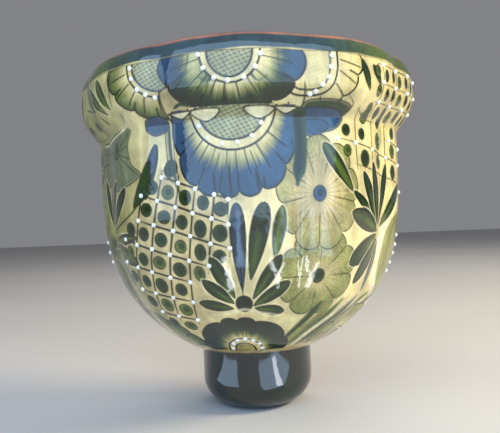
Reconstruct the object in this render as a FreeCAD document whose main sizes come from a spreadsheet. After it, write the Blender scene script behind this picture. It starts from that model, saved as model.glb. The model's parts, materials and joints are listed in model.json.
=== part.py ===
import FreeCAD, Part
import math
import os
import random

import Sketcher

# Half-round wall planter of glazed earthenware, in millimetres.
# +Z is up, the flat back lies in the plane y = 0 and the lobed front faces -Y.
# The origin is the centre of the hanging hole on the back face.

doc = FreeCAD.newDocument("WallPlanter")
sheet = doc.addObject("Spreadsheet::Sheet", "Sizes")
cell_count = 0


def cell(alias, value):
    """Add one named size to the sheet."""
    global cell_count
    cell_count += 1
    sheet.set("A%d" % cell_count, alias)
    sheet.set("B%d" % cell_count, str(value))
    sheet.setAlias("B%d" % cell_count, alias)


# ---- sizes -------------------------------------------------------------
cell("hole_below_rim", 30)
cell("hang_radius", 4.5)
cell("axis_gap", 15)
cell("slab_thick", 8)
cell("back_trim", 2)
cell("valley_one_angle", 20)
cell("valley_two_angle", 58)
cell("crest_one_angle", 39)
cell("crest_two_angle", 75.5)

# Each level of the wall: drop below the rim's top, radius at a lobe's crest,
# depth of the valleys between lobes, and radius of the hollow inside.
LEVELS = {
    "rim": {
        "lip": (0, 137, 3, 125.5),
        "shoulder": (5, 145.4, 3.4, 132),
        "bulge_top": (14, 149, 3.6, 136),
        "bulge": (26, 150, 3.8, 137.5),
        "bulge_low": (38, 148.4, 4, 134),
        "tuck": (50, 141, 4.4, 127),
        "neck": (60, 134.6, 4.6, 121),
    },
    "bowl": {
        "neck": (60, 134.6, 4.6, 121),
        "chest": (80, 134.8, 5, 121),
        "belly_top": (105, 134.4, 5, 120.5),
        "belly": (150, 130, 5, 116.5),
        "haunch": (180, 120, 4.6, 106),
        "turn": (205, 104, 3.8, 89),
        "turn_low": (224, 85, 2.4, 66),
        "underside": (234, 71, 1.4, 48),
        "base": (240, 60, 0.8, 42),
    },
}
for ring, levels in LEVELS.items():
    for level, (drop, crest, valley, hollow) in levels.items():
        cell("%s_%s_drop" % (ring, level), drop)
        cell("%s_%s_crest" % (ring, level), crest)
        cell("%s_%s_valley" % (ring, level), valley)
        cell("%s_%s_hollow" % (ring, level), hollow)

cell("foot_radius", 50)
cell("foot_top_drop", 240)
cell("foot_base_drop", 295)
cell("foot_round", 24)
cell("foot_hollow", 42)
cell("foot_floor", 8)
cell("drain_radius", 5)

cell("bead_radius", 1.9)
cell("bead_rise", 1.5)
cell("bead_scatter", 0.5)
doc.recompute()

# Limits that the finished features are held to.
TOUCHING = 0.01            # mm between things that lie in one plane
WALL_KEEPS_AT_MOST = 0.5   # share of the solid left once a wall is hollowed
SLAB_KEEPS_AT_LEAST = 0.5  # share of the slab left once its back is trimmed
FOOT_KEEPS_AT_MOST = 0.8   # share of the foot left once it is hollowed
HOLE_ERROR = 0.02          # share by which the hanging hole's volume may be off
DRAIN_AT_LEAST = 100       # mm3 that the drain hole takes out of the foot's floor


def size(alias):
    """Read one size back from the sheet."""
    return float(getattr(sheet, alias))


# ---- sketch helpers ----------------------------------------------------
def new_body(name):
    body = doc.addObject("PartDesign::Body", name)
    body.Label = name
    return body


def origin_plane(body, role):
    for feature in body.Origin.OriginFeatures:
        if feature.Role == role:
            return feature
    raise RuntimeError("no plane " + role)


def level_sketch(body, name, drop_alias):
    """An empty sketch parallel to XY, at a named drop below the rim's top."""
    sketch = body.newObject("Sketcher::SketchObject", name)
    sketch.AttachmentSupport = [(origin_plane(body, "XY_Plane"), "")]
    sketch.MapMode = "FlatFace"
    sketch.setExpression("AttachmentOffset.Base.z", "Sizes.hole_below_rim - Sizes.%s" % drop_alias)
    return sketch


def bind(sketch, constraint, name, expression):
    """Add a dimension and drive it from the sheet."""
    index = sketch.addConstraint(constraint)
    sketch.renameConstraint(index, name)
    sketch.setExpression("Constraints." + name, expression)


def pin(sketch, name, geo, pos, across, ahead):
    """Hold a point `across` to the right and `ahead` towards the front of the origin."""
    point = sketch.getPoint(geo, pos)
    bind(sketch, Sketcher.Constraint("DistanceX", -1, 1, geo, pos, point.x), name + "_across", across)
    bind(sketch, Sketcher.Constraint("DistanceY", geo, pos, -1, 1, -point.y), name + "_ahead", ahead)


def lobed_section(body, ring, level):
    """Five arcs from wall to wall, closed by a straight line at the slab's front."""
    stem = "%s_%s" % (ring, level)
    sketch = level_sketch(body, stem + "_outside", stem + "_drop")
    gap = size("axis_gap")
    crest = size(stem + "_crest")
    low = crest - size(stem + "_valley")

    def on_circle(radius, angle):
        turn = math.radians(angle)
        return FreeCAD.Vector(radius * math.sin(turn), -gap - radius * math.cos(turn), 0)

    one = size("valley_one_angle")
    two = size("valley_two_angle")
    slab = size("slab_thick")
    ends = [FreeCAD.Vector(-low, -slab, 0), on_circle(low, -two), on_circle(low, -one),
            on_circle(low, one), on_circle(low, two), FreeCAD.Vector(low, -slab, 0)]
    middles = [on_circle(crest, a) for a in
               (-size("crest_two_angle"), -size("crest_one_angle"), 0,
                size("crest_one_angle"), size("crest_two_angle"))]
    arcs = [sketch.addGeometry(Part.Arc(ends[i], middles[i], ends[i + 1]), False) for i in range(5)]
    back = sketch.addGeometry(Part.LineSegment(ends[5], ends[0]), False)
    crests = [sketch.addGeometry(Part.Point(m), True) for m in middles]

    for i in range(4):
        sketch.addConstraint(Sketcher.Constraint("Coincident", arcs[i], 2, arcs[i + 1], 1))
    sketch.addConstraint(Sketcher.Constraint("Coincident", arcs[4], 2, back, 1))
    sketch.addConstraint(Sketcher.Constraint("Coincident", back, 2, arcs[0], 1))
    for i in range(5):
        sketch.addConstraint(Sketcher.Constraint("PointOnObject", crests[i], 1, arcs[i]))

    radius_low = "(Sizes.%s_crest - Sizes.%s_valley)" % (stem, stem)
    radius_crest = "Sizes.%s_crest" % stem

    def polar(radius, angle_alias):
        angle = "Sizes.%s * 1deg" % angle_alias
        return "%s * sin(%s)" % (radius, angle), "Sizes.axis_gap + %s * cos(%s)" % (radius, angle)

    pin(sketch, "valley_one", arcs[2], 2, *polar(radius_low, "valley_one_angle"))
    pin(sketch, "valley_two", arcs[3], 2, *polar(radius_low, "valley_two_angle"))
    pin(sketch, "wall_edge", arcs[4], 2, radius_low, "Sizes.slab_thick")
    pin(sketch, "crest_one", crests[3], 1, *polar(radius_crest, "crest_one_angle"))
    pin(sketch, "crest_two", crests[4], 1, *polar(radius_crest, "crest_two_angle"))
    sketch.addConstraint(Sketcher.Constraint("PointOnObject", crests[2], 1, -2))
    bind(sketch, Sketcher.Constraint("DistanceY", crests[2], 1, -1, 1, gap + crest),
         "crest_front", "Sizes.axis_gap + " + radius_crest)
    for left, right in (((arcs[1], 2), (arcs[2], 2)), ((arcs[0], 2), (arcs[3], 2)),
                        ((arcs[0], 1), (arcs[4], 2)), ((crests[1], 1), (crests[3], 1)),
                        ((crests[0], 1), (crests[4], 1))):
        sketch.addConstraint(Sketcher.Constraint("Symmetric", *left, *right, -2))
    return sketch


def plain_section(sketch, radius_alias, back_expression, back_value):
    """A half circle with short straight sides, closed at the back."""
    gap = size("axis_gap")
    radius = size(radius_alias)
    right = FreeCAD.Vector(radius, -gap, 0)
    left = FreeCAD.Vector(-radius, -gap, 0)
    right_back = FreeCAD.Vector(radius, -back_value, 0)
    left_back = FreeCAD.Vector(-radius, -back_value, 0)
    front = FreeCAD.Vector(0, -gap - radius, 0)
    arc = sketch.addGeometry(Part.Arc(left, front, right), False)
    side_right = sketch.addGeometry(Part.LineSegment(right, right_back), False)
    back = sketch.addGeometry(Part.LineSegment(right_back, left_back), False)
    side_left = sketch.addGeometry(Part.LineSegment(left_back, left), False)
    for first, second in ((arc, side_right), (side_right, back), (back, side_left), (side_left, arc)):
        sketch.addConstraint(Sketcher.Constraint("Coincident", first, 2, second, 1))
    bind(sketch, Sketcher.Constraint("DistanceY", arc, 3, -1, 1, gap), "arc_centre", "Sizes.axis_gap")
    pin(sketch, "arc_end", arc, 2, "Sizes." + radius_alias, "Sizes.axis_gap")
    sketch.addConstraint(Sketcher.Constraint("Symmetric", arc, 1, arc, 2, -2))
    pin(sketch, "back_corner", back, 1, "Sizes." + radius_alias, back_expression)
    sketch.addConstraint(Sketcher.Constraint("Symmetric", back, 1, back, 2, -2))
    return sketch


def hollow_section(body, ring, level):
    """The hollow's outline at one level, running out through the slab's face."""
    stem = "%s_%s" % (ring, level)
    sketch = level_sketch(body, stem + "_inside", stem + "_drop")
    return plain_section(sketch, stem + "_hollow", "Sizes.slab_thick / 2", size("slab_thick") / 2)


def loft(body, kind, name, sections, ruled):
    feature = body.newObject("PartDesign::" + kind, name)
    feature.Profile = sections[0]
    feature.Sections = sections[1:]
    feature.Ruled = ruled
    feature.Closed = False
    doc.recompute()
    return feature


# ---- pressed and luted pieces -------------------------------------------
def ring_body(name, ring):
    """A lobed wall: the outside lofted through its levels, then the hollow cut out."""
    body = new_body(name)
    outside = [lobed_section(body, ring, level) for level in LEVELS[ring]]
    solid = loft(body, "AdditiveLoft", name + "_outside", outside, False)
    full = solid.Shape.Volume
    inside = [hollow_section(body, ring, level) for level in LEVELS[ring]]
    hollow = loft(body, "SubtractiveLoft", name + "_hollow", inside, True)
    if hollow.Shape.Volume > WALL_KEEPS_AT_MOST * full:
        raise RuntimeError(name + " is not hollow")
    return body


def slab_section(body, ring, level):
    """The slab's own rectangle at one level, as wide as the wall's back edge.

    It runs on behind the back plane by the clay that is trimmed off afterwards.
    """
    stem = "%s_%s" % (ring, level)
    sketch = level_sketch(body, stem + "_edge", stem + "_drop")
    half = size(stem + "_crest") - size(stem + "_valley")
    thick = size("slab_thick")
    trim = size("back_trim")
    corners = [FreeCAD.Vector(-half, -thick, 0), FreeCAD.Vector(half, -thick, 0),
               FreeCAD.Vector(half, trim, 0), FreeCAD.Vector(-half, trim, 0)]
    lines = [sketch.addGeometry(Part.LineSegment(corners[i], corners[(i + 1) % 4]), False)
             for i in range(4)]
    for i in range(4):
        sketch.addConstraint(Sketcher.Constraint("Coincident", lines[i], 2, lines[(i + 1) % 4], 1))
    bind(sketch, Sketcher.Constraint("DistanceY", -1, 1, lines[2], 1, trim),
         "behind_back", "Sizes.back_trim")
    sketch.addConstraint(Sketcher.Constraint("Symmetric", lines[0], 1, lines[0], 2, -2))
    sketch.addConstraint(Sketcher.Constraint("Symmetric", lines[2], 1, lines[2], 2, -2))
    sketch.addConstraint(Sketcher.Constraint("Vertical", lines[1]))
    pin(sketch, "front_corner", lines[0], 2,
        "Sizes.%s_crest - Sizes.%s_valley" % (stem, stem), "Sizes.slab_thick")
    return sketch


def slab_body():
    """The flat back: its edge follows the wall, with a tab behind the foot."""
    body = new_body("back_slab")
    for ring in LEVELS:
        sections = [slab_section(body, ring, level) for level in LEVELS[ring]]
        blank = loft(body, "AdditiveLoft", "slab_behind_" + ring, sections, False)

    reach = "Sizes.rim_bulge_crest + Sizes.foot_base_drop"
    span = size("rim_bulge_crest") + size("foot_base_drop")
    trim_outline = body.newObject("Sketcher::SketchObject", "back_trim_outline")
    trim_outline.AttachmentSupport = [(origin_plane(body, "XZ_Plane"), "")]
    trim_outline.MapMode = "FlatFace"
    circle = trim_outline.addGeometry(
        Part.Circle(FreeCAD.Vector(0, 0, 0), FreeCAD.Vector(0, 0, 1), span), False)
    trim_outline.addConstraint(Sketcher.Constraint("Coincident", circle, 3, -1, 1))
    bind(trim_outline, Sketcher.Constraint("Radius", circle, span), "trim_reach", reach)
    doc.recompute()
    trimmed = body.newObject("PartDesign::Pocket", "back_trimmed_flat")
    trimmed.Profile = trim_outline
    trimmed.setExpression("Length", "Sizes.back_trim * 2")
    doc.recompute()
    back = trimmed.Shape.optimalBoundingBox().YMax
    if back > TOUCHING or trimmed.Shape.Volume < SLAB_KEEPS_AT_LEAST * blank.Shape.Volume:
        raise RuntimeError("the slab's back is not trimmed at y = 0")

    tab = body.newObject("Sketcher::SketchObject", "foot_tab_outline")
    tab.AttachmentSupport = [(origin_plane(body, "XZ_Plane"), "")]
    tab.MapMode = "FlatFace"
    half = size("foot_radius")
    top = size("hole_below_rim") - size("foot_top_drop")
    low = size("hole_below_rim") - size("foot_base_drop")
    bend = size("foot_round")
    slant = bend * math.sqrt(0.5)
    points = {
        "top_left": FreeCAD.Vector(-half, top, 0),
        "top_right": FreeCAD.Vector(half, top, 0),
        "side_right": FreeCAD.Vector(half, low + bend, 0),
        "side_left": FreeCAD.Vector(-half, low + bend, 0),
        "low_right": FreeCAD.Vector(half - bend, low, 0),
        "low_left": FreeCAD.Vector(bend - half, low, 0),
        "bend_right": FreeCAD.Vector(half - bend + slant, low + bend - slant, 0),
        "bend_left": FreeCAD.Vector(bend - half - slant, low + bend - slant, 0),
    }
    edges = [
        tab.addGeometry(Part.LineSegment(points["top_right"], points["top_left"]), False),
        tab.addGeometry(Part.LineSegment(points["top_left"], points["side_left"]), False),
        tab.addGeometry(Part.Arc(points["side_left"], points["bend_left"], points["low_left"]), False),
        tab.addGeometry(Part.LineSegment(points["low_left"], points["low_right"]), False),
        tab.addGeometry(Part.Arc(points["low_right"], points["bend_right"], points["side_right"]), False),
        tab.addGeometry(Part.LineSegment(points["side_right"], points["top_right"]), False),
    ]
    for i in range(6):
        kind = "Tangent" if i in (1, 2, 3, 4) else "Coincident"
        tab.addConstraint(Sketcher.Constraint(kind, edges[i], 2, edges[(i + 1) % 6], 1))
    tab.addConstraint(Sketcher.Constraint("Vertical", edges[1]))
    tab.addConstraint(Sketcher.Constraint("Symmetric", edges[0], 1, edges[0], 2, -2))
    tab.addConstraint(Sketcher.Constraint("Symmetric", edges[3], 1, edges[3], 2, -2))
    bind(tab, Sketcher.Constraint("DistanceX", -1, 1, edges[0], 1, half), "tab_half", "Sizes.foot_radius")
    bind(tab, Sketcher.Constraint("DistanceY", edges[0], 1, -1, 1, -top),
         "tab_top", "Sizes.foot_top_drop - Sizes.hole_below_rim")
    bind(tab, Sketcher.Constraint("DistanceY", edges[3], 2, -1, 1, -low),
         "tab_low", "Sizes.foot_base_drop - Sizes.hole_below_rim")
    bind(tab, Sketcher.Constraint("Radius", edges[2], bend), "tab_bend", "Sizes.foot_round")
    doc.recompute()
    pad = body.newObject("PartDesign::Pad", "foot_tab")
    pad.Profile = tab
    pad.setExpression("Length", "Sizes.slab_thick")

    ring = body.newObject("Sketcher::SketchObject", "hanging_hole_outline")
    ring.AttachmentSupport = [(origin_plane(body, "XZ_Plane"), "")]
    ring.MapMode = "FlatFace"
    circle = ring.addGeometry(
        Part.Circle(FreeCAD.Vector(0, 0, 0), FreeCAD.Vector(0, 0, 1), size("hang_radius")), False)
    ring.addConstraint(Sketcher.Constraint("Coincident", circle, 3, -1, 1))
    bind(ring, Sketcher.Constraint("Radius", circle, size("hang_radius")),
         "hang_radius", "Sizes.hang_radius")
    doc.recompute()
    before = pad.Shape.Volume
    hole = body.newObject("PartDesign::Pocket", "hanging_hole")
    hole.Profile = ring
    hole.Type = "ThroughAll"
    hole.Midplane = True
    doc.recompute()
    removed = before - hole.Shape.Volume
    expected = math.pi * size("hang_radius") ** 2 * size("slab_thick")
    if abs(removed - expected) > HOLE_ERROR * expected:
        raise RuntimeError("hanging hole removed %.1f, expected %.1f" % (removed, expected))
    return body


def foot_body():
    """The rounded foot: a D-shaped block, hollow from above, with a drain hole."""
    body = new_body("foot_knob")
    outline = level_sketch(body, "foot_outline", "foot_base_drop")
    plain_section(outline, "foot_radius", "Sizes.slab_thick", size("slab_thick"))
    doc.recompute()
    block = body.newObject("PartDesign::Pad", "foot_block")
    block.Profile = outline
    block.setExpression("Length", "Sizes.foot_base_drop - Sizes.foot_top_drop")
    doc.recompute()

    base_z = size("hole_below_rim") - size("foot_base_drop")
    slab = size("slab_thick")
    rounded = []
    for index, edge in enumerate(block.Shape.Edges, 1):
        box = edge.BoundBox
        at_base = abs(box.ZMax - base_z) < TOUCHING
        along_back = abs(box.YMin + slab) < TOUCHING and abs(box.YMax + slab) < TOUCHING
        if at_base and not along_back:
            rounded.append("Edge%d" % index)
    bend = body.newObject("PartDesign::Fillet", "foot_rounding")
    bend.Base = (block, rounded)
    bend.setExpression("Radius", "Sizes.foot_round")
    doc.recompute()

    hollow_outline = level_sketch(body, "foot_hollow_outline", "foot_top_drop")
    plain_section(hollow_outline, "foot_hollow", "Sizes.slab_thick / 2", slab / 2)
    doc.recompute()
    before = bend.Shape.Volume
    hollow = body.newObject("PartDesign::Pocket", "foot_hollow")
    hollow.Profile = hollow_outline
    hollow.setExpression(
        "Length",
        "Sizes.foot_base_drop - Sizes.foot_top_drop - Sizes.foot_floor - Sizes.foot_round / 2")
    doc.recompute()
    if hollow.Shape.Volume > FOOT_KEEPS_AT_MOST * before:
        raise RuntimeError("foot is not hollow")

    drain_outline = level_sketch(body, "drain_outline", "foot_base_drop")
    centre = FreeCAD.Vector(0, -size("axis_gap") - size("foot_radius") / 3, 0)
    circle = drain_outline.addGeometry(
        Part.Circle(centre, FreeCAD.Vector(0, 0, 1), size("drain_radius")), False)
    drain_outline.addConstraint(Sketcher.Constraint("PointOnObject", circle, 3, -2))
    bind(drain_outline, Sketcher.Constraint("Radius", circle, size("drain_radius")),
         "drain_radius", "Sizes.drain_radius")
    bind(drain_outline, Sketcher.Constraint("DistanceY", circle, 3, -1, 1, -centre.y),
         "drain_ahead", "Sizes.axis_gap + Sizes.foot_radius / 3")
    doc.recompute()
    before = hollow.Shape.Volume
    drain = body.newObject("PartDesign::Pocket", "drain_hole")
    drain.Profile = drain_outline
    drain.Type = "ThroughAll"
    drain.Reversed = True
    doc.recompute()
    if drain.Shape.Volume > before - DRAIN_AT_LEAST:
        raise RuntimeError("drain hole removed nothing")
    return body


# ---- slip beads ---------------------------------------------------------
# A place on the wall is an angle about the upright axis (0 at the front,
# positive to +X) and a distance down the wall from the lip, in millimetres.
def wall_table():
    """Distance down the wall against drop, at each level from lip to base."""
    rows = []
    for ring, levels in LEVELS.items():
        for level in levels:
            stem = "%s_%s" % (ring, level)
            point = (size(stem + "_drop"), size(stem + "_crest"))
            if not rows:
                rows.append((0.0, point))
            elif point != rows[-1][1]:
                rows.append((rows[-1][0] + math.dist(point, rows[-1][1]), point))
    return [(along, point[0]) for along, point in rows]


WALL_TABLE = wall_table()


def drop_at(along):
    for (low, low_drop), (high, high_drop) in zip(WALL_TABLE, WALL_TABLE[1:]):
        if along <= high:
            return low_drop + (high_drop - low_drop) * (along - low) / (high - low)
    return WALL_TABLE[-1][1]


def seat(angle, along):
    """The point on the outside of the wall at a place, and the way out of it."""
    drop = drop_at(along)
    wall = rim if drop < size("bowl_neck_drop") else bowl
    turn = math.radians(angle)
    outward = FreeCAD.Vector(math.sin(turn), -math.cos(turn), 0)
    start = FreeCAD.Vector(0, -size("axis_gap"), size("hole_below_rim") - drop)
    ray = Part.Line(start, start + outward)
    best = None
    for face in wall.Shape.Faces:
        if face.Surface.TypeId != "Part::GeomBSplineSurface":
            continue
        for hit in face.Surface.intersect(ray)[0]:
            point = FreeCAD.Vector(hit.X, hit.Y, hit.Z)
            reach = (point - start).dot(outward)
            if best is None or reach > best[0]:
                best = (reach, point, face.Surface)
    _, point, surface = best
    normal = surface.normal(*surface.parameter(point))
    if normal.dot(outward) < 0:
        normal = normal.negative()
    return point, normal


def bead(angle, along):
    """A low dome of slip, its flat base on the wall."""
    point, normal = seat(angle, along)
    base = size("bead_radius")
    rise = size("bead_rise")
    ball = (base ** 2 + rise ** 2) / (2 * rise)
    low_angle = math.degrees(math.asin((ball - rise) / ball))
    centre = point - normal * (ball - rise)
    return Part.makeSphere(ball, centre, normal, low_angle, 90, 360)


def arc_places(centre, half_span, depth, start, end, count):
    """Places along half an ellipse that hangs from `centre`; angles run from its lowest point."""
    places = []
    for i in range(count):
        turn = math.radians(start + (end - start) * i / (count - 1))
        places.append((centre[0] + half_span * math.sin(turn), centre[1] + depth * math.cos(turn)))
    return places


# The slanting lattice left of the front. Its rows fall to the right, each row less
# steeply than the one above. Its columns lean more the farther left they stand.
LEFT_ROW_COLUMNS = ((0, 4), (0, 5), (0, 5), (1, 6), (2, 6), (2, 5), (2, 4))
LEFT_ROW_START = 127
LEFT_ROW_STEP = 17.3
LEFT_ROW_FALL = 0.85        # mm down the wall per degree
LEFT_ROW_FALL_LOSS = 0.07   # less with every row
LEFT_FRONT_ANGLE = -2.5
LEFT_COLUMN_START = 1.2
LEFT_COLUMN_STEP = 6.45
LEFT_COLUMN_LEAN = 0.055    # degrees per mm down the wall
LEFT_COLUMN_LEAN_GAIN = 0.016
LEFT_COLUMN_LEAN_FROM = 105

# The lattice high on the right: the angles of its crossings in each row, by the row's
# distance down the wall at its first crossing.
RIGHT_ROWS = {83: (33, 40.5, 49.5, 61, 73), 68: (64, 75)}
RIGHT_ROW_FALL = 0.38
RIGHT_ROW_FROM = 33

RIM_LATTICE_ROWS = (24.5, 38.5, 53)
RIM_LATTICE_COLUMNS = (48, 57, 66, 76)


def left_lattice_place(row, column):
    """Where a row and a column cross, closed in on in a few steps."""
    level = LEFT_ROW_START + LEFT_ROW_STEP * row
    fall = LEFT_ROW_FALL - LEFT_ROW_FALL_LOSS * row
    lean = LEFT_COLUMN_LEAN + LEFT_COLUMN_LEAN_GAIN * column
    angle = 0.0
    for _ in range(3):
        along = level + fall * angle
        if column == 0:
            angle = LEFT_FRONT_ANGLE
        else:
            angle = LEFT_COLUMN_START - LEFT_COLUMN_STEP * column - lean * (along - LEFT_COLUMN_LEAN_FROM)
    return angle, along


def left_lattice_places():
    return [left_lattice_place(row, column) for row, (first, last) in enumerate(LEFT_ROW_COLUMNS)
            for column in range(first, last + 1)]


def right_lattice_places():
    return [(angle, start + RIGHT_ROW_FALL * (angle - RIGHT_ROW_FROM))
            for start, angles in RIGHT_ROWS.items() for angle in angles]


def rim_lattice_places():
    return [(angle, along) for along in RIM_LATTICE_ROWS for angle in RIM_LATTICE_COLUMNS]


def row_down(angle, start, step, count):
    """Places one under another down the wall."""
    return [(angle, start + step * i) for i in range(count)]


BEAD_GROUPS = {
    "rim_centre_beads": arc_places((0.3, 22), 8.2, 20.5, -86, 80, 7),
    "rim_left_beads": arc_places((-20.5, 22), 8.8, 27, -85, -12, 5),
    "rim_right_beads": arc_places((21, 22), 7.3, 31, 12, 85, 6),
    "rim_lattice_beads": rim_lattice_places(),
    "front_flower_beads": arc_places((-1, 62), 10.6, 25, -65, 65, 6),
    "left_lattice_beads": left_lattice_places(),
    "right_lattice_beads": right_lattice_places(),
    "foot_flower_beads": arc_places((-1.2, 268), 9.5, -23, -75, 75, 7),
    "left_side_beads": row_down(-73.2, 154, 9, 3),
    "right_side_beads": [(77.5, 120)] + row_down(78.4, 157.5, 8.2, 5),
}
WALL_PER_DEGREE = 2.4       # mm round the wall under one degree


def bead_group(name, places, scatter):
    """Beads set by hand, each a little off its mark."""
    off = size("bead_scatter")
    domes = []
    for angle, along in places:
        angle += scatter.uniform(-off, off) / WALL_PER_DEGREE
        along += scatter.uniform(-off, off)
        domes.append(bead(angle, along))
    group = doc.addObject("Part::Feature", name)
    group.Label = name
    group.Shape = Part.makeCompound(domes)
    return group


# ---- build, check and write ---------------------------------------------
rim = ring_body("rim_collar", "rim")
bowl = ring_body("bowl_shell", "bowl")
pieces = [rim, bowl, slab_body(), foot_body()]
doc.recompute()
scatter = random.Random(5)
pieces += [bead_group(name, places, scatter) for name, places in BEAD_GROUPS.items()]
doc.recompute()

for item in doc.Objects:
    if "Invalid" in item.State or "Error" in item.State:
        raise RuntimeError("%s failed: %s" % (item.Name, item.State))
os.makedirs("parts", exist_ok=True)
for piece in pieces:
    if piece.Shape.isNull() or not piece.Shape.isValid():
        raise RuntimeError(piece.Label + " has no valid shape")
    piece.Shape.exportStep("parts/%s.step" % piece.Label)
    print("%-20s solids %3d  volume %9.1f mm3" % (piece.Label, len(piece.Shape.Solids), piece.Shape.Volume))
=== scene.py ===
import json
import math
import random

import bpy
import bmesh
import numpy as np
from mathutils import Matrix, Vector

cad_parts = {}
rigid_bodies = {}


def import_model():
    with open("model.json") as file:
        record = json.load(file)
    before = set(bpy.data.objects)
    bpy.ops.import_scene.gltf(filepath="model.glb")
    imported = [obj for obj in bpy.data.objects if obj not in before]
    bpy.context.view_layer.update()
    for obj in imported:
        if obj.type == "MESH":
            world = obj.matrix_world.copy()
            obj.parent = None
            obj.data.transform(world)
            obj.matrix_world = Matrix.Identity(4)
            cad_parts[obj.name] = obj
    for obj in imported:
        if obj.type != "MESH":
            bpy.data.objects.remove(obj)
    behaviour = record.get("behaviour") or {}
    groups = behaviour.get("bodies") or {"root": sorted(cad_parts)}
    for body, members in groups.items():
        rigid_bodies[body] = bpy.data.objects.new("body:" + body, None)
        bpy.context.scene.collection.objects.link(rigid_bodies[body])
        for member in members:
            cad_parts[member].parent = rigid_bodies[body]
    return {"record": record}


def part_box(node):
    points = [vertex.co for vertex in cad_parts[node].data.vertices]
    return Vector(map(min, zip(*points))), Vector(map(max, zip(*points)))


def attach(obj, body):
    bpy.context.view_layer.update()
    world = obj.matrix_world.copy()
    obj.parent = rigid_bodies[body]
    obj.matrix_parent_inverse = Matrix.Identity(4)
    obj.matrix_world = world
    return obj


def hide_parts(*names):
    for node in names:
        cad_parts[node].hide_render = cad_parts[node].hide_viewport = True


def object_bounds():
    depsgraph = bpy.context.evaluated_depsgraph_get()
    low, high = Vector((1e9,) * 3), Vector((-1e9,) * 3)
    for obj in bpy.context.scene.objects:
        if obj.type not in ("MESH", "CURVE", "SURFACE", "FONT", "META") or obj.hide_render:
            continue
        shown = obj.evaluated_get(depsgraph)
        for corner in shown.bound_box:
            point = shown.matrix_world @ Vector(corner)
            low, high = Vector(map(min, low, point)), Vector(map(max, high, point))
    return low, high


# Looks of the glazed wall planter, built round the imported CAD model.
# Shapes are worked out in millimetres below the rim's top and put into metres at the end.
# A place on the wall is (angle, along): degrees about the upright axis, 0 at the front and
# positive to +X, and millimetres down the wall from the lip.

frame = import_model()
cad_low, cad_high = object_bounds()

MM = 0.001
RIM_TOP = cad_high.z
AXIS_GAP = 15.0
SLAB_THICK = 8.0
GLAZE_THICK = 0.6

# drop below the rim's top, radius at a lobe's crest, depth of the valleys, radius of the hollow
LEVELS = (
    (0, 137, 3, 125.5), (5, 145.4, 3.4, 132), (14, 149, 3.6, 136), (26, 150, 3.8, 137.5),
    (38, 148.4, 4, 134), (50, 141, 4.4, 127), (60, 134.6, 4.6, 121), (80, 134.8, 5, 121),
    (105, 134.4, 5, 120.5), (150, 130, 5, 116.5), (180, 120, 4.6, 106), (205, 104, 3.8, 89),
    (224, 85, 2.4, 66), (234, 71, 1.4, 48), (240, 60, 0.8, 42),
)
NECK_DROP = 60.0
BASE_DROP = 240.0
VALLEYS = (20.0, 58.0)
CRESTS = (0.0, 39.0, 75.5)
SIDE_ANGLE = 93.1


# ---- the wall's surface --------------------------------------------------
def smooth_curve(xs, ys):
    """A monotone cubic through points, as a function."""
    xs = np.array(xs, float)
    ys = np.array(ys, float)
    step = np.diff(xs)
    rate = np.diff(ys) / step
    slope = np.concatenate([[rate[0]], np.zeros(len(xs) - 2), [rate[-1]]])
    same = rate[:-1] * rate[1:] > 0
    total = np.where(same, rate[:-1] + rate[1:], 1.0)
    slope[1:-1] = np.where(same, 2 * rate[:-1] * rate[1:] / total, 0.0)

    def at(x):
        i = np.clip(np.searchsorted(xs, x, side="right") - 1, 0, len(step) - 1)
        s = (x - xs[i]) / step[i]
        return ((2 * s ** 3 - 3 * s ** 2 + 1) * ys[i] + (s ** 3 - 2 * s ** 2 + s) * step[i] * slope[i]
                + (3 * s ** 2 - 2 * s ** 3) * ys[i + 1] + (s ** 3 - s ** 2) * step[i] * slope[i + 1])

    return at


DROPS = [level[0] for level in LEVELS]
crest_at = smooth_curve(DROPS, [level[1] for level in LEVELS])
valley_at = smooth_curve(DROPS, [level[2] for level in LEVELS])
ALONGS = np.concatenate([[0.0], np.cumsum([math.dist(a[:2], b[:2]) for a, b in zip(LEVELS, LEVELS[1:])])])
NECK_ALONG = ALONGS[6]
BASE_ALONG = ALONGS[-1]


def hollow_at(drop):
    return np.interp(drop, DROPS, [level[3] for level in LEVELS])


def drop_at(along):
    return np.interp(along, ALONGS, DROPS)


def lobe_circle(low, high, angles):
    """Centre (across, ahead) and radius of the arc valley-crest-valley, for arrays of levels."""
    points = [(radius * np.sin(np.radians(a)), radius * np.cos(np.radians(a)))
              for radius, a in zip((low, high, low), angles)]
    if angles[2] == SIDE_ANGLE:
        points[2] = (low, SLAB_THICK - AXIS_GAP + 0 * low)
    (ax, ay), (bx, by), (cx, cy) = points
    d = 2 * (ax * (by - cy) + bx * (cy - ay) + cx * (ay - by))
    a2, b2, c2 = ax * ax + ay * ay, bx * bx + by * by, cx * cx + cy * cy
    ux = (a2 * (by - cy) + b2 * (cy - ay) + c2 * (ay - by)) / d
    uy = (a2 * (cx - bx) + b2 * (ax - cx) + c2 * (bx - ax)) / d
    return ux, uy, np.hypot(ax - ux, ay - uy)


def wall_radius(angle, drop):
    """Distance of the wall's outside from the upright axis, its valleys softened by glaze."""
    high = crest_at(drop)
    low = high - valley_at(drop)
    turn = np.radians(np.abs(angle))
    sin, cos = np.sin(turn), np.cos(turn)
    spans = ((-VALLEYS[0], CRESTS[0], VALLEYS[0]), (VALLEYS[0], CRESTS[1], VALLEYS[1]),
             (VALLEYS[1], CRESTS[2], SIDE_ANGLE))
    pool = 1.6
    result = None
    for span in spans:
        ux, uy, radius = lobe_circle(low, high, span)
        b = ux * sin + uy * cos
        inside = radius ** 2 - ux ** 2 - uy ** 2 + b ** 2
        reach = np.where(inside > 0, b + np.sqrt(np.maximum(inside, 0)), 0.0)
        if result is None:
            result = reach
        else:
            near = np.maximum(pool - np.abs(result - reach), 0) / pool
            result = np.maximum(result, reach) + near ** 2 * pool / 4
    return np.minimum(result, high)


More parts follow.
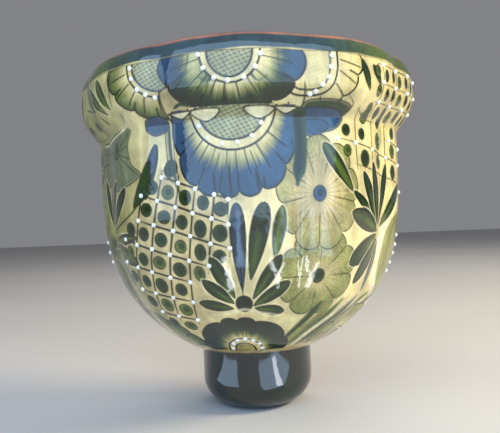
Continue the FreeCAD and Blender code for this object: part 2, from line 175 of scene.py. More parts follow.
def to_frame(angle, radius, drop):
    """Points in the row frame, in metres."""
    turn = np.radians(angle)
    x = radius * np.sin(turn)
    y = -AXIS_GAP - radius * np.cos(turn)
    return np.stack([x * MM, y * MM, RIM_TOP - drop * MM], -1)


def wall_point(angle, along):
    drop = drop_at(along)
    return to_frame(angle, wall_radius(angle, drop), drop)


def wall_normal(angle, along):
    step = 0.4
    across = wall_point(angle + step, along) - wall_point(angle - step, along)
    down = wall_point(angle, along + step) - wall_point(angle, along - step)
    normal = np.cross(down, across)
    return normal / np.linalg.norm(normal, axis=-1, keepdims=True)


# ---- painting ------------------------------------------------------------
def linear(red, green, blue):
    """An sRGB colour, 0 to 255, as linear light."""
    value = np.array([red, green, blue]) / 255.0
    return np.where(value <= 0.04045, value / 12.92, ((value + 0.055) / 1.055) ** 2.4)


CREAM = linear(224, 206, 146)
BUFF = linear(196, 174, 120)
PALE = linear(236, 224, 176)
OLIVE = linear(140, 140, 68)
LEAF = linear(82, 102, 34)
GREEN = linear(34, 60, 18)
DEEP = linear(10, 24, 8)
# dark green glaze tinted blue: a painted reflection of blue sky, laid where the glaze should look blue
TEAL_PAINTED_SKY_REFLECTION = linear(40, 70, 96)
MOSS = linear(112, 118, 84)
INK = linear(9, 12, 9)
CLAY = linear(168, 92, 60)
STRAW = linear(210, 196, 112)
HATCH_STRAW = linear(206, 190, 128)
LIP_CLAY = linear(172, 112, 90)

MM_PER_DEGREE = 2.4
SPLINE_STEP = 1.2
LINE_EDGE = 0.6
FILL_EDGE = 0.8


def smoothstep(low, high, value):
    s = np.clip((value - low) / (high - low), 0, 1)
    return s * s * (3 - 2 * s)


def spline(points, closed=False):
    """A Catmull-Rom curve through (angle, along) points."""
    pts = [np.array(p, float) for p in points]
    if len(pts) == 2:
        pts.insert(1, (pts[0] + pts[1]) / 2)
    ring = [pts[-1]] + pts + pts[:2] if closed else [2 * pts[0] - pts[1]] + pts + [2 * pts[-1] - pts[-2]]
    out = []
    for p0, p1, p2, p3 in zip(ring, ring[1:], ring[2:], ring[3:]):
        count = max(2, int(np.hypot((p2[0] - p1[0]) * MM_PER_DEGREE, p2[1] - p1[1]) / SPLINE_STEP))
        for s in np.arange(count) / count:
            out.append(0.5 * (2 * p1 + (p2 - p0) * s + (2 * p0 - 5 * p1 + 4 * p2 - p3) * s * s
                              + (3 * p1 - p0 - 3 * p2 + p3) * s ** 3))
    if not closed:
        out.append(pts[-1])
    return np.array(out)


def line_cover(gap, half):
    """How far a soft-edged line of the given half width covers places at `gap` from its middle."""
    return (half - np.abs(gap)) / LINE_EDGE + 0.5


def fill_cover(depth):
    """How far a soft-edged shape covers places at `depth` inside its outline."""
    return depth / FILL_EDGE + 0.5


def breadth_at(along):
    """Millimetres across the wall for one degree."""
    return np.radians(1) * crest_at(drop_at(along))


class Canvas:
    """Colour, and the height of slip and glaze, at every painted place on the wall."""

    def __init__(self, angle, along, colour):
        self.angle = angle
        self.along = along
        self.colour = np.tile(colour, (len(angle), 1))
        self.raised = np.zeros(len(angle))
        self.breadth = breadth_at(along)

    def near(self, low_angle, high_angle, low_along, high_along):
        return np.nonzero((self.angle > low_angle) & (self.angle < high_angle)
                          & (self.along > low_along) & (self.along < high_along))[0]

    def lay(self, index, colour, cover, raised=0.0):
        cover = np.clip(cover, 0, 1)
        self.colour[index] += (colour - self.colour[index]) * cover[:, None]
        if raised:
            self.raised[index] = np.maximum(self.raised[index], raised * cover)

    def around(self, path, margin):
        """Places near a path, both as millimetres from an upright line."""
        breadth = breadth_at(path[:, 1].mean())
        wide = margin / breadth
        index = self.near(path[:, 0].min() - wide, path[:, 0].max() + wide,
                          path[:, 1].min() - margin, path[:, 1].max() + margin)
        places = np.stack([self.angle[index] * breadth, self.along[index]], -1)
        return index, places, path * np.array([breadth, 1.0])

    def stroke(self, points, width, colour=INK, cover=1.0, soft=0.7, ends=(0.5, 0.5)):
        """A brush line, thinner at its ends by the given shares."""
        path = spline(points)
        index, places, line = self.around(path, width + soft)
        if not len(index):
            return
        start, run = line[:-1], np.diff(line, axis=0)
        length = np.maximum((run ** 2).sum(1), 1e-9)
        offset = places[:, None] - start[None]
        share = np.clip((offset * run[None]).sum(2) / length, 0, 1)
        gap = np.linalg.norm(offset - share[..., None] * run[None], axis=2)
        best = gap.argmin(1)
        rows = np.arange(len(index))
        s = (best + share[rows, best]) / len(run)
        full = ends[0] + (1 - ends[0]) * smoothstep(0, 0.2, s)
        full *= ends[1] + (1 - ends[1]) * smoothstep(0, 0.2, 1 - s)
        self.lay(index, colour, cover * ((width * full / 2 - gap[rows, best]) / soft + 0.5))

    def patch(self, points, colour, cover=1.0, soft=1.0, rim=None, rim_width=0.9):
        """A filled shape, with an outline brushed round it if `rim` is a colour."""
        index, places, line = self.around(spline(points, closed=True), 3.0)
        if not len(index):
            return
        after = np.roll(line, -1, 0)
        run = after - line
        offset = places[:, None] - line[None]
        share = np.clip((offset * run[None]).sum(2) / np.maximum((run ** 2).sum(1), 1e-9), 0, 1)
        gap = np.linalg.norm(offset - share[..., None] * run[None], axis=2).min(1)
        x, y = places[:, 0:1], places[:, 1:2]
        crosses = (line[None, :, 1] > y) != (after[None, :, 1] > y)
        rise = np.where(np.abs(run[:, 1]) < 1e-9, 1e-9, run[:, 1])
        at = line[None, :, 0] + (y - line[None, :, 1]) * run[None, :, 0] / rise[None]
        inside = (crosses & (x < at)).sum(1) % 2 == 1
        depth = np.where(inside, gap, -gap)
        self.lay(index, colour, cover * (depth / soft + 0.5))
        if rim is not None:
            self.lay(index, rim, line_cover(depth, rim_width / 2))

    def dot(self, angle, along, half, colour=GREEN, rim=INK):
        """A brushed oval, half sizes in millimetres."""
        reach = max(half) + 1.5
        breadth = breadth_at(along)
        index = self.near(angle - reach / breadth, angle + reach / breadth, along - reach, along + reach)
        x = (self.angle[index] - angle) * breadth
        y = self.along[index] - along
        depth = (1 - np.hypot(x / half[0], y / half[1])) * min(half)
        self.lay(index, colour, 0.95 * fill_cover(depth))
        self.lay(index, DEEP, 0.75 * smoothstep(0.75, 0.35, np.hypot(x / half[0] - 0.12, y / half[1] + 0.1)))
        if rim is not None:
            self.lay(index, rim, line_cover(depth, 0.42))

    def leaf(self, tip, base, half, colour=GREEN, heart=0.5, rim=INK, swell=0.8):
        """A leaf from base to tip, widest near its tip, with a pale brushed heart."""
        tip, base = np.array(tip, float), np.array(base, float)
        breadth = breadth_at((tip[1] + base[1]) / 2)
        scale = np.array([breadth, 1.0])
        axis = (base - tip) * scale
        size = np.linalg.norm(axis)
        axis /= size
        reach = half + 2
        low = np.minimum(tip, base) - reach / scale
        high = np.maximum(tip, base) + reach / scale
        index = self.near(low[0], high[0], low[1], high[1])
        offset = (np.stack([self.angle[index], self.along[index]], -1) - tip) * scale
        s = (offset @ axis) / size
        cross = offset @ np.array([-axis[1], axis[0]])
        inside = np.clip(s, 0, 1)
        width = half * np.sin(np.pi * inside ** swell) ** 0.75
        beyond = -np.hypot(cross, np.abs(s - inside) * size)
        depth = np.where((s > 0) & (s < 1), width - np.abs(cross), beyond)
        self.lay(index, colour, 0.95 * fill_cover(depth))
        pool = smoothstep(0.2, 0.9, np.abs(cross) / half + 0.35 * (1 - s)) * (depth > 0)
        self.lay(index, DEEP, 0.8 * pool)
        glow = smoothstep(0.5, 0.0, np.abs(cross) / half) * smoothstep(0.25, 0.75, s) * (depth > 0.3)
        self.lay(index, LEAF, heart * glow)
        if rim is not None:
            self.lay(index, PALE, line_cover(depth + 1.3, 0.5) * 0.5)
            self.lay(index, rim, line_cover(depth, 0.5))

    def leaves(self, places, **look):
        """Leaves of one look, each given as its tip, its base and its half width."""
        for tip, base, half in places:
            self.leaf(tip, base, half, **look)


def half_flower(canvas, centre, hatch, band, petal, petals, fill=(OLIVE, GREEN, DEEP), up=False,
                power=2.0, band_power=2.0, lines=(), dark_from=0.45, hatch_colour=MOSS, wings=None):
    """A half flower hanging from `centre` (or standing on it if `up`): hatched eye, white band, petals.

    hatch, band and petal are half sizes (degrees across, millimetres down) of their outlines.
    petals are the angles of the notches between petals, from -90 to 90 with 0 straight down.
    """
    sign = -1.0 if up else 1.0
    index = canvas.near(centre[0] - petal[0] - 2, centre[0] + petal[0] + 2,
                        centre[1] - petal[1] - 4, centre[1] + petal[1] + 4)
    across = canvas.angle[index] - centre[0]
    down = (canvas.along[index] - centre[1]) * sign
    index, across, down = index[down > -0.5], across[down > -0.5], down[down > -0.5]
    breadth = canvas.breadth[index]

    def ring(size, exponent=2.0):
        wide, tall = np.abs(across) / size[0], np.abs(down) / size[1]
        return (wide ** exponent + tall ** exponent) ** (1 / exponent)

    direction = np.degrees(np.arctan2(across / petal[0], np.maximum(down, 0) / petal[1]))
    edges = np.array(petals, float)
    place = np.clip(np.searchsorted(edges, direction) - 1, 0, len(edges) - 2)
    share = np.clip((direction - edges[place]) / (edges[place + 1] - edges[place]), 0, 1)
    bulge = 1 - 0.08 * (1 - np.sqrt(np.clip(np.sin(np.pi * share), 0, 1)))
    outer = ring(petal, power) / bulge
    size = np.hypot(across * breadth, down)
    rim_depth = (1 - outer) * size / np.maximum(outer, 0.05)
    inner = ring(band, band_power)
    eye = ring(hatch, band_power)
    # petals, pale at the band and dark outwards, with fine brush streaks
    fade = np.clip((size - size / np.maximum(inner, 0.05))
                   / np.maximum(size / np.maximum(outer, 0.05) - size / np.maximum(inner, 0.05), 0.5), 0, 1.3)
    streak = 0.5 + 0.5 * np.sin(direction * 0.47 + 1.5 * np.sin(direction * 0.21))
    fine = 0.5 + 0.5 * np.sin(direction * 1.9 + 2 * np.sin(direction * 0.53))
    edge = fade + 0.07 * (streak - 0.5) + 0.08 * (fine - 0.5)
    shape = np.clip(fill_cover(rim_depth), 0, 1)
    canvas.lay(index, fill[0], shape * smoothstep(0.0, dark_from * 0.9, edge) * 0.8)
    canvas.lay(index, fill[1], shape * smoothstep(dark_from * 0.5, dark_from * 1.4, edge))
    canvas.lay(index, fill[2], shape * smoothstep(dark_from * 1.0, dark_from * 2.0, edge) * 0.9)
    if wings is not None:
        side = (np.abs(direction) > 62) * smoothstep(0.25, 0.8, edge)
        canvas.lay(index, wings, shape * side)
    # dark outline and notches
    canvas.lay(index, INK, line_cover(rim_depth, 0.85))
    for notch in edges[1:-1]:
        gap = np.abs(np.radians(direction - notch)) * size
        canvas.lay(index, INK, line_cover(gap, 0.65) * (fade > 0.55) * (outer < 1))
    for ray in lines:
        gap = np.abs(np.radians(direction - ray[0])) * size
        inside = smoothstep(ray[1] - 0.03, ray[1] + 0.02, fade) * smoothstep(ray[2] + 0.05, ray[2], fade)
        canvas.lay(index, INK, line_cover(gap, 0.5) * inside)
    # the white band and its two dark lines
    band_depth = (1 - inner) * size / np.maximum(inner, 0.05)
    eye_depth = (1 - eye) * size / np.maximum(eye, 0.05)
    canvas.lay(index, CREAM, np.clip(band_depth / 0.6 + 0.5, 0, 1), raised=0.35)
    canvas.lay(index, hatch_colour, np.clip(eye_depth / 0.6 + 0.5, 0, 1))
    # hatching
    for slope, pitch in ((0.35, 2.7), (-1.6, 3.1)):
        phase = (across * breadth * slope + down) / pitch / math.hypot(slope, 1)
        wave = np.abs(phase - np.round(phase)) * pitch
        canvas.lay(index, CREAM, ((0.4 - wave) / 0.5 + 0.5) * 0.4 * (eye_depth > 0.3))
    canvas.lay(index, INK, line_cover(band_depth, 0.8))
    canvas.lay(index, INK, line_cover(eye_depth, 0.75))


# by default the disc takes the painted sky reflection tint
def rosette(canvas, centre, size, petals, disc=(2.6, 6.0), disc_colour=TEAL_PAINTED_SKY_REFLECTION, pale_core=0.25, strength=0.5):
    """A whole flower seen flat: an oval disc, fine streaked rays and a scalloped outline."""
    wide, tall = size[0] * 1.05, size[1] * 1.05
    index = canvas.near(centre[0] - wide, centre[0] + wide, centre[1] - tall, centre[1] + tall)
    across = canvas.angle[index] - centre[0]
    down = canvas.along[index] - centre[1]
    direction = np.degrees(np.arctan2(across / size[0], down / size[1]))
    outer = np.hypot(across / size[0], down / size[1])
    step = 360.0 / petals
    share = (direction / step) % 1.0
    bulge = 1 - 0.16 * (1 - np.sqrt(np.sin(np.pi * share)))
    outer = outer / bulge
    length = np.hypot(across * canvas.breadth[index], down)
    depth = (1 - outer) * length / np.maximum(outer, 0.05)
    shape = np.clip(fill_cover(depth), 0, 1)
    fine = 0.5 + 0.5 * np.sin(direction * 1.9 + 2.5 * np.sin(direction * 0.61))
    finer = 0.5 + 0.5 * np.sin(direction * 4.7 + 2 * np.sin(direction * 1.3))
    canvas.lay(index, BUFF, shape * 0.95)
    pale_edge = outer + 0.35 * (fine - 0.5)
    canvas.lay(index, OLIVE, shape * smoothstep(pale_core, pale_core + 0.5, pale_edge) * strength)
    canvas.lay(index, LEAF, shape * smoothstep(0.45, 1.15, outer + 0.7 * (finer - 0.5)) * strength)

    def from_ray(turn):
        """Distance from the nearest of the rays that stand `turn` degrees apart."""
        return np.abs(direction / turn - np.round(direction / turn)) * np.radians(turn) * length

    canvas.lay(index, GREEN, line_cover(from_ray(step / 3), 0.32) * smoothstep(0.95, 0.5, outer) * 0.35)
    notch = line_cover(from_ray(step), 0.35) * smoothstep(0.35, 0.5, outer)
    canvas.lay(index, INK, notch * (outer < 1) * 0.85)
    canvas.lay(index, INK, line_cover(depth, 0.5) * 0.9)
    canvas.dot(centre[0], centre[1], disc, colour=disc_colour)


# ---- the design, place by place ------------------------------------------
# the lattice left of the front: its first and last column in each row, and how its lines lean
LATTICE_COLUMNS = ((0, 4), (0, 5), (0, 5), (1, 6), (2, 6), (2, 5), (2, 4))
LATTICE_TOP = 127
LATTICE_PITCH = 17.3
LATTICE_SLOPE = 0.85
LATTICE_SLOPE_LOST = 0.07
COLUMN_START = 1.2
COLUMN_PITCH = 6.45
COLUMN_LEAN = 0.055
COLUMN_LEAN_GAINED = 0.016
COLUMN_LEVEL = 105
FIRST_COLUMN = -2.5

# the lattice on the right: uprights, and rows that drop by a slope
RIGHT_COLUMNS = (33, 40.5, 49.5, 61, 73, 85)
RIGHT_ROWS = (68, 83, 99)
RIGHT_SLOPE = 0.38

# the lattice on the rim: the levels of its lines across
RIM_LATTICE_ROWS = (24.5, 38.5, 53)


def lattice_place(row, column):
    """A crossing of the slanting lattice left of the front."""
    angle = 0.0
    for _ in range(3):
        along = LATTICE_TOP + LATTICE_PITCH * row + (LATTICE_SLOPE - LATTICE_SLOPE_LOST * row) * angle
        lean = COLUMN_LEAN + COLUMN_LEAN_GAINED * column
        angle = COLUMN_START - COLUMN_PITCH * column - lean * (along - COLUMN_LEVEL)
        if column == 0:
            angle = FIRST_COLUMN
    return angle, along


def right_drop(angle):
    """How far the right lattice's rows have dropped at an angle."""
    return RIGHT_SLOPE * (angle - RIGHT_COLUMNS[0])


def paint_rim_band(canvas):
    """Dark band below the lip, with a thin pale line over its upper edge and a cream line under it."""
    every = np.arange(len(canvas.angle))
    along = canvas.along
    wobble = 0.5 * np.sin(np.radians(canvas.angle) * 9) + 0.3 * np.sin(np.radians(canvas.angle) * 23)
    band = smoothstep(21.6, 20.4, along + wobble)
    side = smoothstep(20, 50, np.abs(canvas.angle))
    canvas.lay(every, GREEN, band * 0.95)
    canvas.lay(every, LEAF, band * side * 0.55)
    # painted sky reflection: the band tinted blue towards the front, and left green at the sides
    canvas.lay(every, TEAL_PAINTED_SKY_REFLECTION, band * (1 - side) * 0.6)
    edge = smoothstep(4.5, 6.4, along + wobble) * smoothstep(11.0, 9.4, along + wobble)
    canvas.lay(every, LIP_CLAY, edge * 0.9)
    lip = smoothstep(-2.0, 0.5, along) * smoothstep(3.5, 1.0, along)
    canvas.lay(every, CLAY, lip * 0.7)
    inner = smoothstep(-9.0, -10.5, along + wobble)
    canvas.lay(every, CLAY, inner * 0.75)
    for angle in (-88, -70, -50, -30, -10, 10, 30, 50, 70):
        canvas.stroke([(angle, 21.6), (angle + 10, 21.9), (angle + 20, 21.5)], 0.7, cover=0.8)


def paint_rim_flowers(canvas):
    half_flower(canvas, (-20.5, 22), (8.2, 21.5), (9.9, 26), (18.5, 43), (-90, -62, -36, -10, 20, 60, 90),
                fill=(OLIVE, LEAF, GREEN), dark_from=0.7,
                lines=((-76, 0.1, 0.8), (-58, 0.1, 0.8), (-42, 0.1, 0.8), (-25, 0.1, 0.8), (-5, 0.1, 0.7)))
    canvas.patch([(-21, 47), (-17, 42), (-14.5, 48), (-11, 54), (-8.5, 58), (-9, 65), (-20.5, 65)], BUFF,
                 soft=1.2, rim=INK)
    half_flower(canvas, (21.5, 22), (6.2, 27), (8.4, 31), (17, 46), (-90, -60, -20, 12, 45, 70, 90),
                fill=(CREAM, STRAW, OLIVE), hatch_colour=HATCH_STRAW, dark_from=0.9, band_power=3.2,
                lines=((20, 0.1, 0.8), (45, 0.1, 0.9), (62, 0.1, 0.9), (78, 0.1, 0.9)))
    # the side petals of this flower take the painted sky reflection tint
    half_flower(canvas, (0.4, 22), (6.0, 18.3), (8.0, 22), (20.8, 44), (-90, -63, -30, -6, 19, 34, 60, 90),
                fill=(OLIVE, GREEN, DEEP), dark_from=0.42, power=2.15, wings=TEAL_PAINTED_SKY_REFLECTION,
                lines=((-48, 0.0, 0.6), (-38, 0.05, 0.5), (-22, 0.0, 0.55), (-8, 0.0, 0.6), (8, 0.0, 0.55),
                       (26, 0.0, 0.5), (45, 0.0, 0.55), (75, 0.0, 0.7), (-75, 0.0, 0.7)))
    # under the flowers, down to the neck
    canvas.stroke([(-17.5, 57.5), (-15, 55.5), (-12, 57.5)], 2.6, GREEN)
    for sign in (-1, 1):
        canvas.stroke([(sign * 20.5, 43), (sign * 21.2, 56), (sign * 20, 70)], 1.5, cover=0.85)


def paint_rim_sides(canvas):
    # left: leaves round the side
    canvas.stroke([(-38, 25), (-38.6, 48)], 0.9)
    canvas.stroke([(-37, 55), (-36.5, 60), (-38, 65), (-42, 69)], 0.9)
    canvas.stroke([(-42, 35), (-43, 40), (-48, 41)], 0.8)
    canvas.stroke([(-60, 40), (-50, 47)], 1.8, GREEN)
    canvas.stroke([(-49, 52), (-46, 60)], 2.0, GREEN)
    for angle, along, lean in ((-43, 30, -3), (-48, 33, -5), (-54, 27, -4), (-66, 30, 2), (-73, 28, 4),
                               (-80, 32, 3)):
        canvas.leaf((angle + lean, along - 6), (angle - lean, along + 20), 4.2, LEAF, rim=GREEN)
    for angle in (-85, -76, -67, -58):
        canvas.dot(angle, 56, (5.0, 3.6), LEAF)
    half_flower(canvas, (-88, 22), (6, 14), (8, 18), (15, 34), (-90, -40, 0, 40, 90), dark_from=0.6)
    # right: strokes, then the dotted lattice
    for angle, top, low in ((38, 24, 47), (42.6, 27, 40)):
        canvas.leaf((angle, top), (angle + 4, low), 3.4, GREEN, rim=None, heart=0.3)
    canvas.patch([(22, 57), (29, 55), (35, 57), (37, 61), (34, 68), (26, 70), (21.5, 67)], GREEN, cover=0.9,
                 soft=3, rim=INK)
    canvas.stroke([(35, 52), (37.5, 58), (35, 66), (33.5, 72)], 0.9)
    for angle in (47.5, 57, 66, 76, 86):
        canvas.stroke([(angle, 22), (angle + 0.6, 40), (angle - 0.5, 66)], 0.9)
    for along in RIM_LATTICE_ROWS:
        canvas.stroke([(45, along + 0.6), (60, along), (76, along), (92, along + 0.5)], 0.9)
    for row, along in enumerate((31.5, 45.5, 60)):
        for column in range(9):
            angle = 45.0 + 4.9 * column + (1.2 if row % 2 else 0)
            shift = 0.8 if column % 2 else -0.8
            canvas.dot(angle, along + shift, (3.0, 4.4), GREEN if column % 3 else LEAF)
    canvas.stroke([(40, 60), (44, 66), (50, 69)], 0.9)


def paint_front_lobe(canvas):
    """The large flower under the rim and the fan of leaves below it."""
    # the petals' darker outer parts take the painted sky reflection tint
    half_flower(canvas, (-0.1, 60), (10.6, 24), (13.0, 31), (20.2, 64),
                (-90, -60, -34, -14, 4, 24, 50, 90), fill=(OLIVE, TEAL_PAINTED_SKY_REFLECTION, TEAL_PAINTED_SKY_REFLECTION), power=2.7, dark_from=0.36,
                lines=((-66, 0.1, 0.7), (-52, 0.0, 0.6), (-42, 0.0, 0.5), (-30, 0.0, 0.55), (-22, 0.1, 0.45),
                       (-10, 0.0, 0.4), (4, 0.0, 0.5), (18, 0.0, 0.55), (26, 0.1, 0.5), (38, 0.0, 0.6),
                       (60, 0.0, 0.7)))
    for angle, top, low in ((-6.4, 106, 120), (-1.6, 101, 122), (6.6, 107, 119), (8.6, 110, 118)):
        canvas.stroke([(angle, top), (angle + 0.3, low)], 2.0, DEEP, cover=0.85, soft=1.2)
    # this leaf takes the painted sky reflection tint
    canvas.leaf((0, 128), (0.4, 192), 5.2, TEAL_PAINTED_SKY_REFLECTION, swell=0.62, heart=0.15)
    canvas.leaf((8.6, 128), (3.4, 184), 6.4, GREEN, swell=0.62, heart=0.25)
    canvas.dot(8.0, 146, (3.6, 4.4), DEEP, rim=None)
    canvas.leaf((14.2, 131), (11.4, 168), 4.6, LEAF, rim=GREEN, heart=0.6)
    canvas.leaves((((13.6, 166), (4, 200), 4.8), ((17, 187), (4, 207), 5.2), ((16, 214), (4.5, 209), 4.6),
                   ((-9.5, 166), (-2.6, 199), 5.0), ((-13.6, 184), (-3.2, 204), 5.0),
                   ((-17.5, 204), (-3.6, 209), 4.6)))
    canvas.stroke([(0.3, 172), (0.4, 198)], 1.0)
    canvas.dot(0.5, 204.5, (6.0, 7.4), DEEP, rim=INK)


def paint_neck_scallops(canvas):
    """A row of pale scallops in the neck, over the top of the front flower."""
    for first, last, low in ((-20, -12, 66), (-12, -4, 70), (4, 12, 70), (12, 20, 66)):
        middle = (first + last) / 2
        canvas.patch([(first, 61), (first + 0.6, low - 4), (middle, low), (last - 0.6, low - 4), (last, 61)],
                     PALE, cover=0.85, soft=1.2, rim=INK, rim_width=1.2)


def paint_left_lattice(canvas):
    columns = {}
    for row, (first, last) in enumerate(LATTICE_COLUMNS):
        places = [lattice_place(row, column) for column in range(first, last + 1)]
        canvas.stroke([(a, t + 0.5 * math.sin(a)) for a, t in places], 1.7, ends=(0.4, 0.4))
        for column, place in zip(range(first, last + 1), places):
            columns.setdefault(column, []).append(place)
    for column, places in columns.items():
        top = (places[0][0] + 0.3, places[0][1] - 5)
        canvas.stroke([top] + places + [(places[-1][0] - 0.4, places[-1][1] + 6)], 1.7, ends=(0.4, 0.4))
    loose = random.Random(11)
    for row in range(-1, len(LATTICE_COLUMNS)):
        for column in range(0, 7):
            a1, t1 = lattice_place(row, column)
            a2, t2 = lattice_place(row + 1, column + 1)
            angle = (a1 + a2) / 2 + loose.uniform(-0.4, 0.4)
            along = (t1 + t2) / 2 + loose.uniform(-0.8, 0.8)
            rows = [r for r in (row, row + 1) if 0 <= r < len(LATTICE_COLUMNS)]
            if not any(LATTICE_COLUMNS[r][0] <= column and column + 1 <= LATTICE_COLUMNS[r][1] for r in rows):
                continue
            if along > 232 or row < 0 and column < 3:
                continue
            half = (4.9 + loose.uniform(-0.6, 0.5), 5.3 + loose.uniform(-0.6, 0.8))
            canvas.dot(angle, along, half, GREEN if loose.random() < 0.7 else LEAF)


def paint_left_lobes(canvas):
    """Leaves and part flowers between the lattice and the left side."""
    # this patch and the next two leaves take the painted sky reflection tint
    canvas.patch([(-29, 64), (-25, 61.5), (-22, 64), (-21.5, 72), (-26, 76), (-29.5, 71)], TEAL_PAINTED_SKY_REFLECTION, soft=2,
                 rim=INK)
    canvas.leaf((-26.2, 82), (-31.2, 122), 4.4, TEAL_PAINTED_SKY_REFLECTION, swell=0.75)
    canvas.leaf((-22.4, 97), (-22, 108), 3.4, TEAL_PAINTED_SKY_REFLECTION)
    canvas.patch([(-37.5, 67), (-52, 71), (-64, 74), (-65, 92), (-60, 106), (-46, 113), (-33, 104), (-37, 94),
                  (-38.5, 80)], MOSS, cover=0.8, soft=2.5, rim=GREEN)
    for end in ((-37.5, 70), (-38.5, 80), (-37.5, 90), (-33.5, 103), (-40, 108), (-47, 112), (-54, 108),
                (-61, 101), (-64, 90), (-64, 79)):
        canvas.stroke([(-46, 83), ((end[0] - 46) / 2, (end[1] + 84) / 2), end], 1.0, GREEN, cover=0.75)
    canvas.dot(-46, 82, (3.4, 6.0), LEAF)
    canvas.stroke([(-36, 58), (-39, 66), (-53, 73), (-63, 73)], 1.6, PALE, cover=0.9)
    canvas.patch([(-29.4, 94), (-33.5, 108), (-37, 127), (-31.5, 121), (-28.6, 114)], GREEN, soft=1.5,
                 rim=INK)
    canvas.leaves((((-62, 102), (-58.5, 141), 3.6), ((-55.5, 101), (-57.5, 141), 3.4),
                   ((-48, 105), (-56, 140), 4.2), ((-41, 112), (-53, 139), 4.6)), heart=0.4)
    canvas.stroke([(-27.6, 115), (-33, 122), (-39, 132), (-48, 140), (-59, 146)], 1.6, GREEN)
    canvas.patch([(-62, 148), (-57, 156), (-54, 180), (-50, 200), (-58, 216), (-72, 204), (-70, 165)], GREEN,
                 cover=0.7, soft=5)
    canvas.leaves((((-37.5, 150), (-57, 153), 3.8), ((-38.8, 170), (-58, 156), 6.6),
                   ((-47, 190), (-60, 160), 6.0), ((-56, 210), (-62, 168), 6.4)), colour=LEAF, heart=0.6)
    for along, start in ((84, -68), (99, -68), (114, -72)):
        for angle in (start, start - 8, start - 16):
            canvas.dot(angle, along, (5.2, 4.8))
    for along in (76, 91.5, 106.5, 122):
        canvas.stroke([(-64, along), (-78, along + 0.8), (-93, along)], 1.0)
    for angle in (-64, -72, -80, -88):
        canvas.stroke([(angle, 72), (angle - 0.5, 98), (angle + 0.3, 124)], 1.0)
    rosette(canvas, (-80, 168), (14, 34), 11)
    for angle, top, base in ((-62, 208, -70), (-72, 204, -74), (-84, 206, -80)):
        canvas.leaf((angle, top), (base, 236), 5.0, GREEN)
    half_flower(canvas, (-52, 262), (7, 12), (10, 16), (26, 46), (-90, -45, -10, 30, 60, 90), up=True,
                fill=(OLIVE, LEAF, GREEN), dark_from=0.6)


def paint_right_lobes(canvas):
    """Streaked flowers right of the front, then leaves and lattice round to the side."""
    # these two patches take the painted sky reflection tint
    canvas.patch([(19, 64), (26, 61), (33, 63), (35, 70), (31, 78), (23, 79), (19, 74)], TEAL_PAINTED_SKY_REFLECTION, soft=2.5,
                 rim=INK)
    canvas.patch([(21, 72), (27, 70), (30, 75), (26, 82), (21.5, 80)], TEAL_PAINTED_SKY_REFLECTION, cover=0.9, soft=2, rim=INK)
    rosette(canvas, (27.3, 184), (15, 36), 8, disc=(4.6, 5.4), disc_colour=GREEN, pale_core=0.1,
            strength=0.75)
    rosette(canvas, (26.5, 123), (14.4, 42), 9, disc=(4.8, 5.6), pale_core=0.4)
    canvas.leaf((28.2, 87), (38.8, 122), 4.8, LEAF, rim=INK, swell=0.7)
    for along, first in zip(RIGHT_ROWS, (61, 33, 36)):
        crossings = [(angle, along + right_drop(angle)) for angle in RIGHT_COLUMNS if angle >= first]
        canvas.stroke(crossings + [(92, along + 22)], 1.0)
    for angle in RIGHT_COLUMNS[1:]:
        drop = right_drop(angle)
        canvas.stroke([(angle, 58), (angle, RIGHT_ROWS[1] + drop), (angle + 0.5, 103 + drop)], 1.0)
    for angle, along, half in ((36.5, 77, 3.6), (43.5, 79, 3.6), (36.8, 92, 3.6), (45, 97, 5.4),
                               (55, 82, 5.6), (55, 98, 4.6), (66.5, 88, 5.0), (66.5, 105, 4.8),
                               (79, 92, 5.2), (79, 108, 5.0), (89, 96, 4.6), (89, 111, 4.6),
                               (44.5, 66, 4.4), (55, 67, 4.4), (67, 73, 4.2)):
        canvas.dot(angle, along, (half, half * 1.15), GREEN if along % 2 else LEAF)
    canvas.patch([(62, 158), (70, 141), (86, 138), (90, 175), (82, 212), (68, 210), (62, 185)], OLIVE,
                 cover=0.75, soft=3, rim=GREEN)
    for angle in (66, 71, 76, 81, 86):
        canvas.stroke([(angle + 3, 142), (angle, 165), (angle - 1, 205)], 1.1, GREEN, cover=0.7)
    canvas.stroke([(73, 128), (64, 142), (59, 156), (59, 176), (62, 196), (71, 222)], 8.0, PALE, soft=1.5)
    canvas.leaves((((39.2, 122), (53.3, 147), 3.4), ((44, 107), (53.4, 148), 4.8),
                   ((50.1, 99), (54.6, 148), 4.8), ((61, 99), (56, 147), 3.6),
                   ((73.4, 114), (57.5, 149), 5.6),
                   ((38.6, 137), (54.4, 152), 7.4), ((39.2, 177), (54, 155), 8.4),
                   ((44, 194), (54.4, 158), 6.2), ((54, 204), (55.6, 160), 5.2)), heart=0.6)
    for k in range(9):
        low, high = 16 + 3.6 * k, 31 + 5.2 * k
        colour = (GREEN, OLIVE, LEAF, PALE)[k % 4]
        streak = [(low, 262), (low + 7, 238), (high, 208 + 3 * (k % 2))]
        canvas.stroke(streak, 6.0, colour, cover=0.8, soft=1.8)
        canvas.stroke([(low + 1.7, 262), (low + 8.6, 238), (high + 2, 207)], 0.9, cover=0.8)
    half_flower(canvas, (60, 262), (7, 12), (10, 16), (24, 44), (-90, -45, -10, 30, 60, 90), up=True,
                fill=(OLIVE, OLIVE, LEAF), dark_from=0.7)


def paint_base(canvas):
    """The dark petals that stand up from the foot."""
    half_flower(canvas, (-2.5, 268), (6.6, 16), (10.6, 23.5), (26, 50), (-90, -66, -20, -2, 16, 62, 90),
                up=True, fill=(LEAF, GREEN, DEEP), dark_from=0.3, hatch_colour=STRAW * 0.6,
                lines=((-50, 0.1, 0.8), (-35, 0.1, 0.7), (-10, 0.1, 0.6), (8, 0.1, 0.6), (35, 0.1, 0.7),
                       (50, 0.1, 0.8)))
    canvas.stroke([(-14, 216), (-6, 214), (0.5, 210), (7, 214), (14, 217)], 2.4, PALE, cover=0.5, soft=1.5)


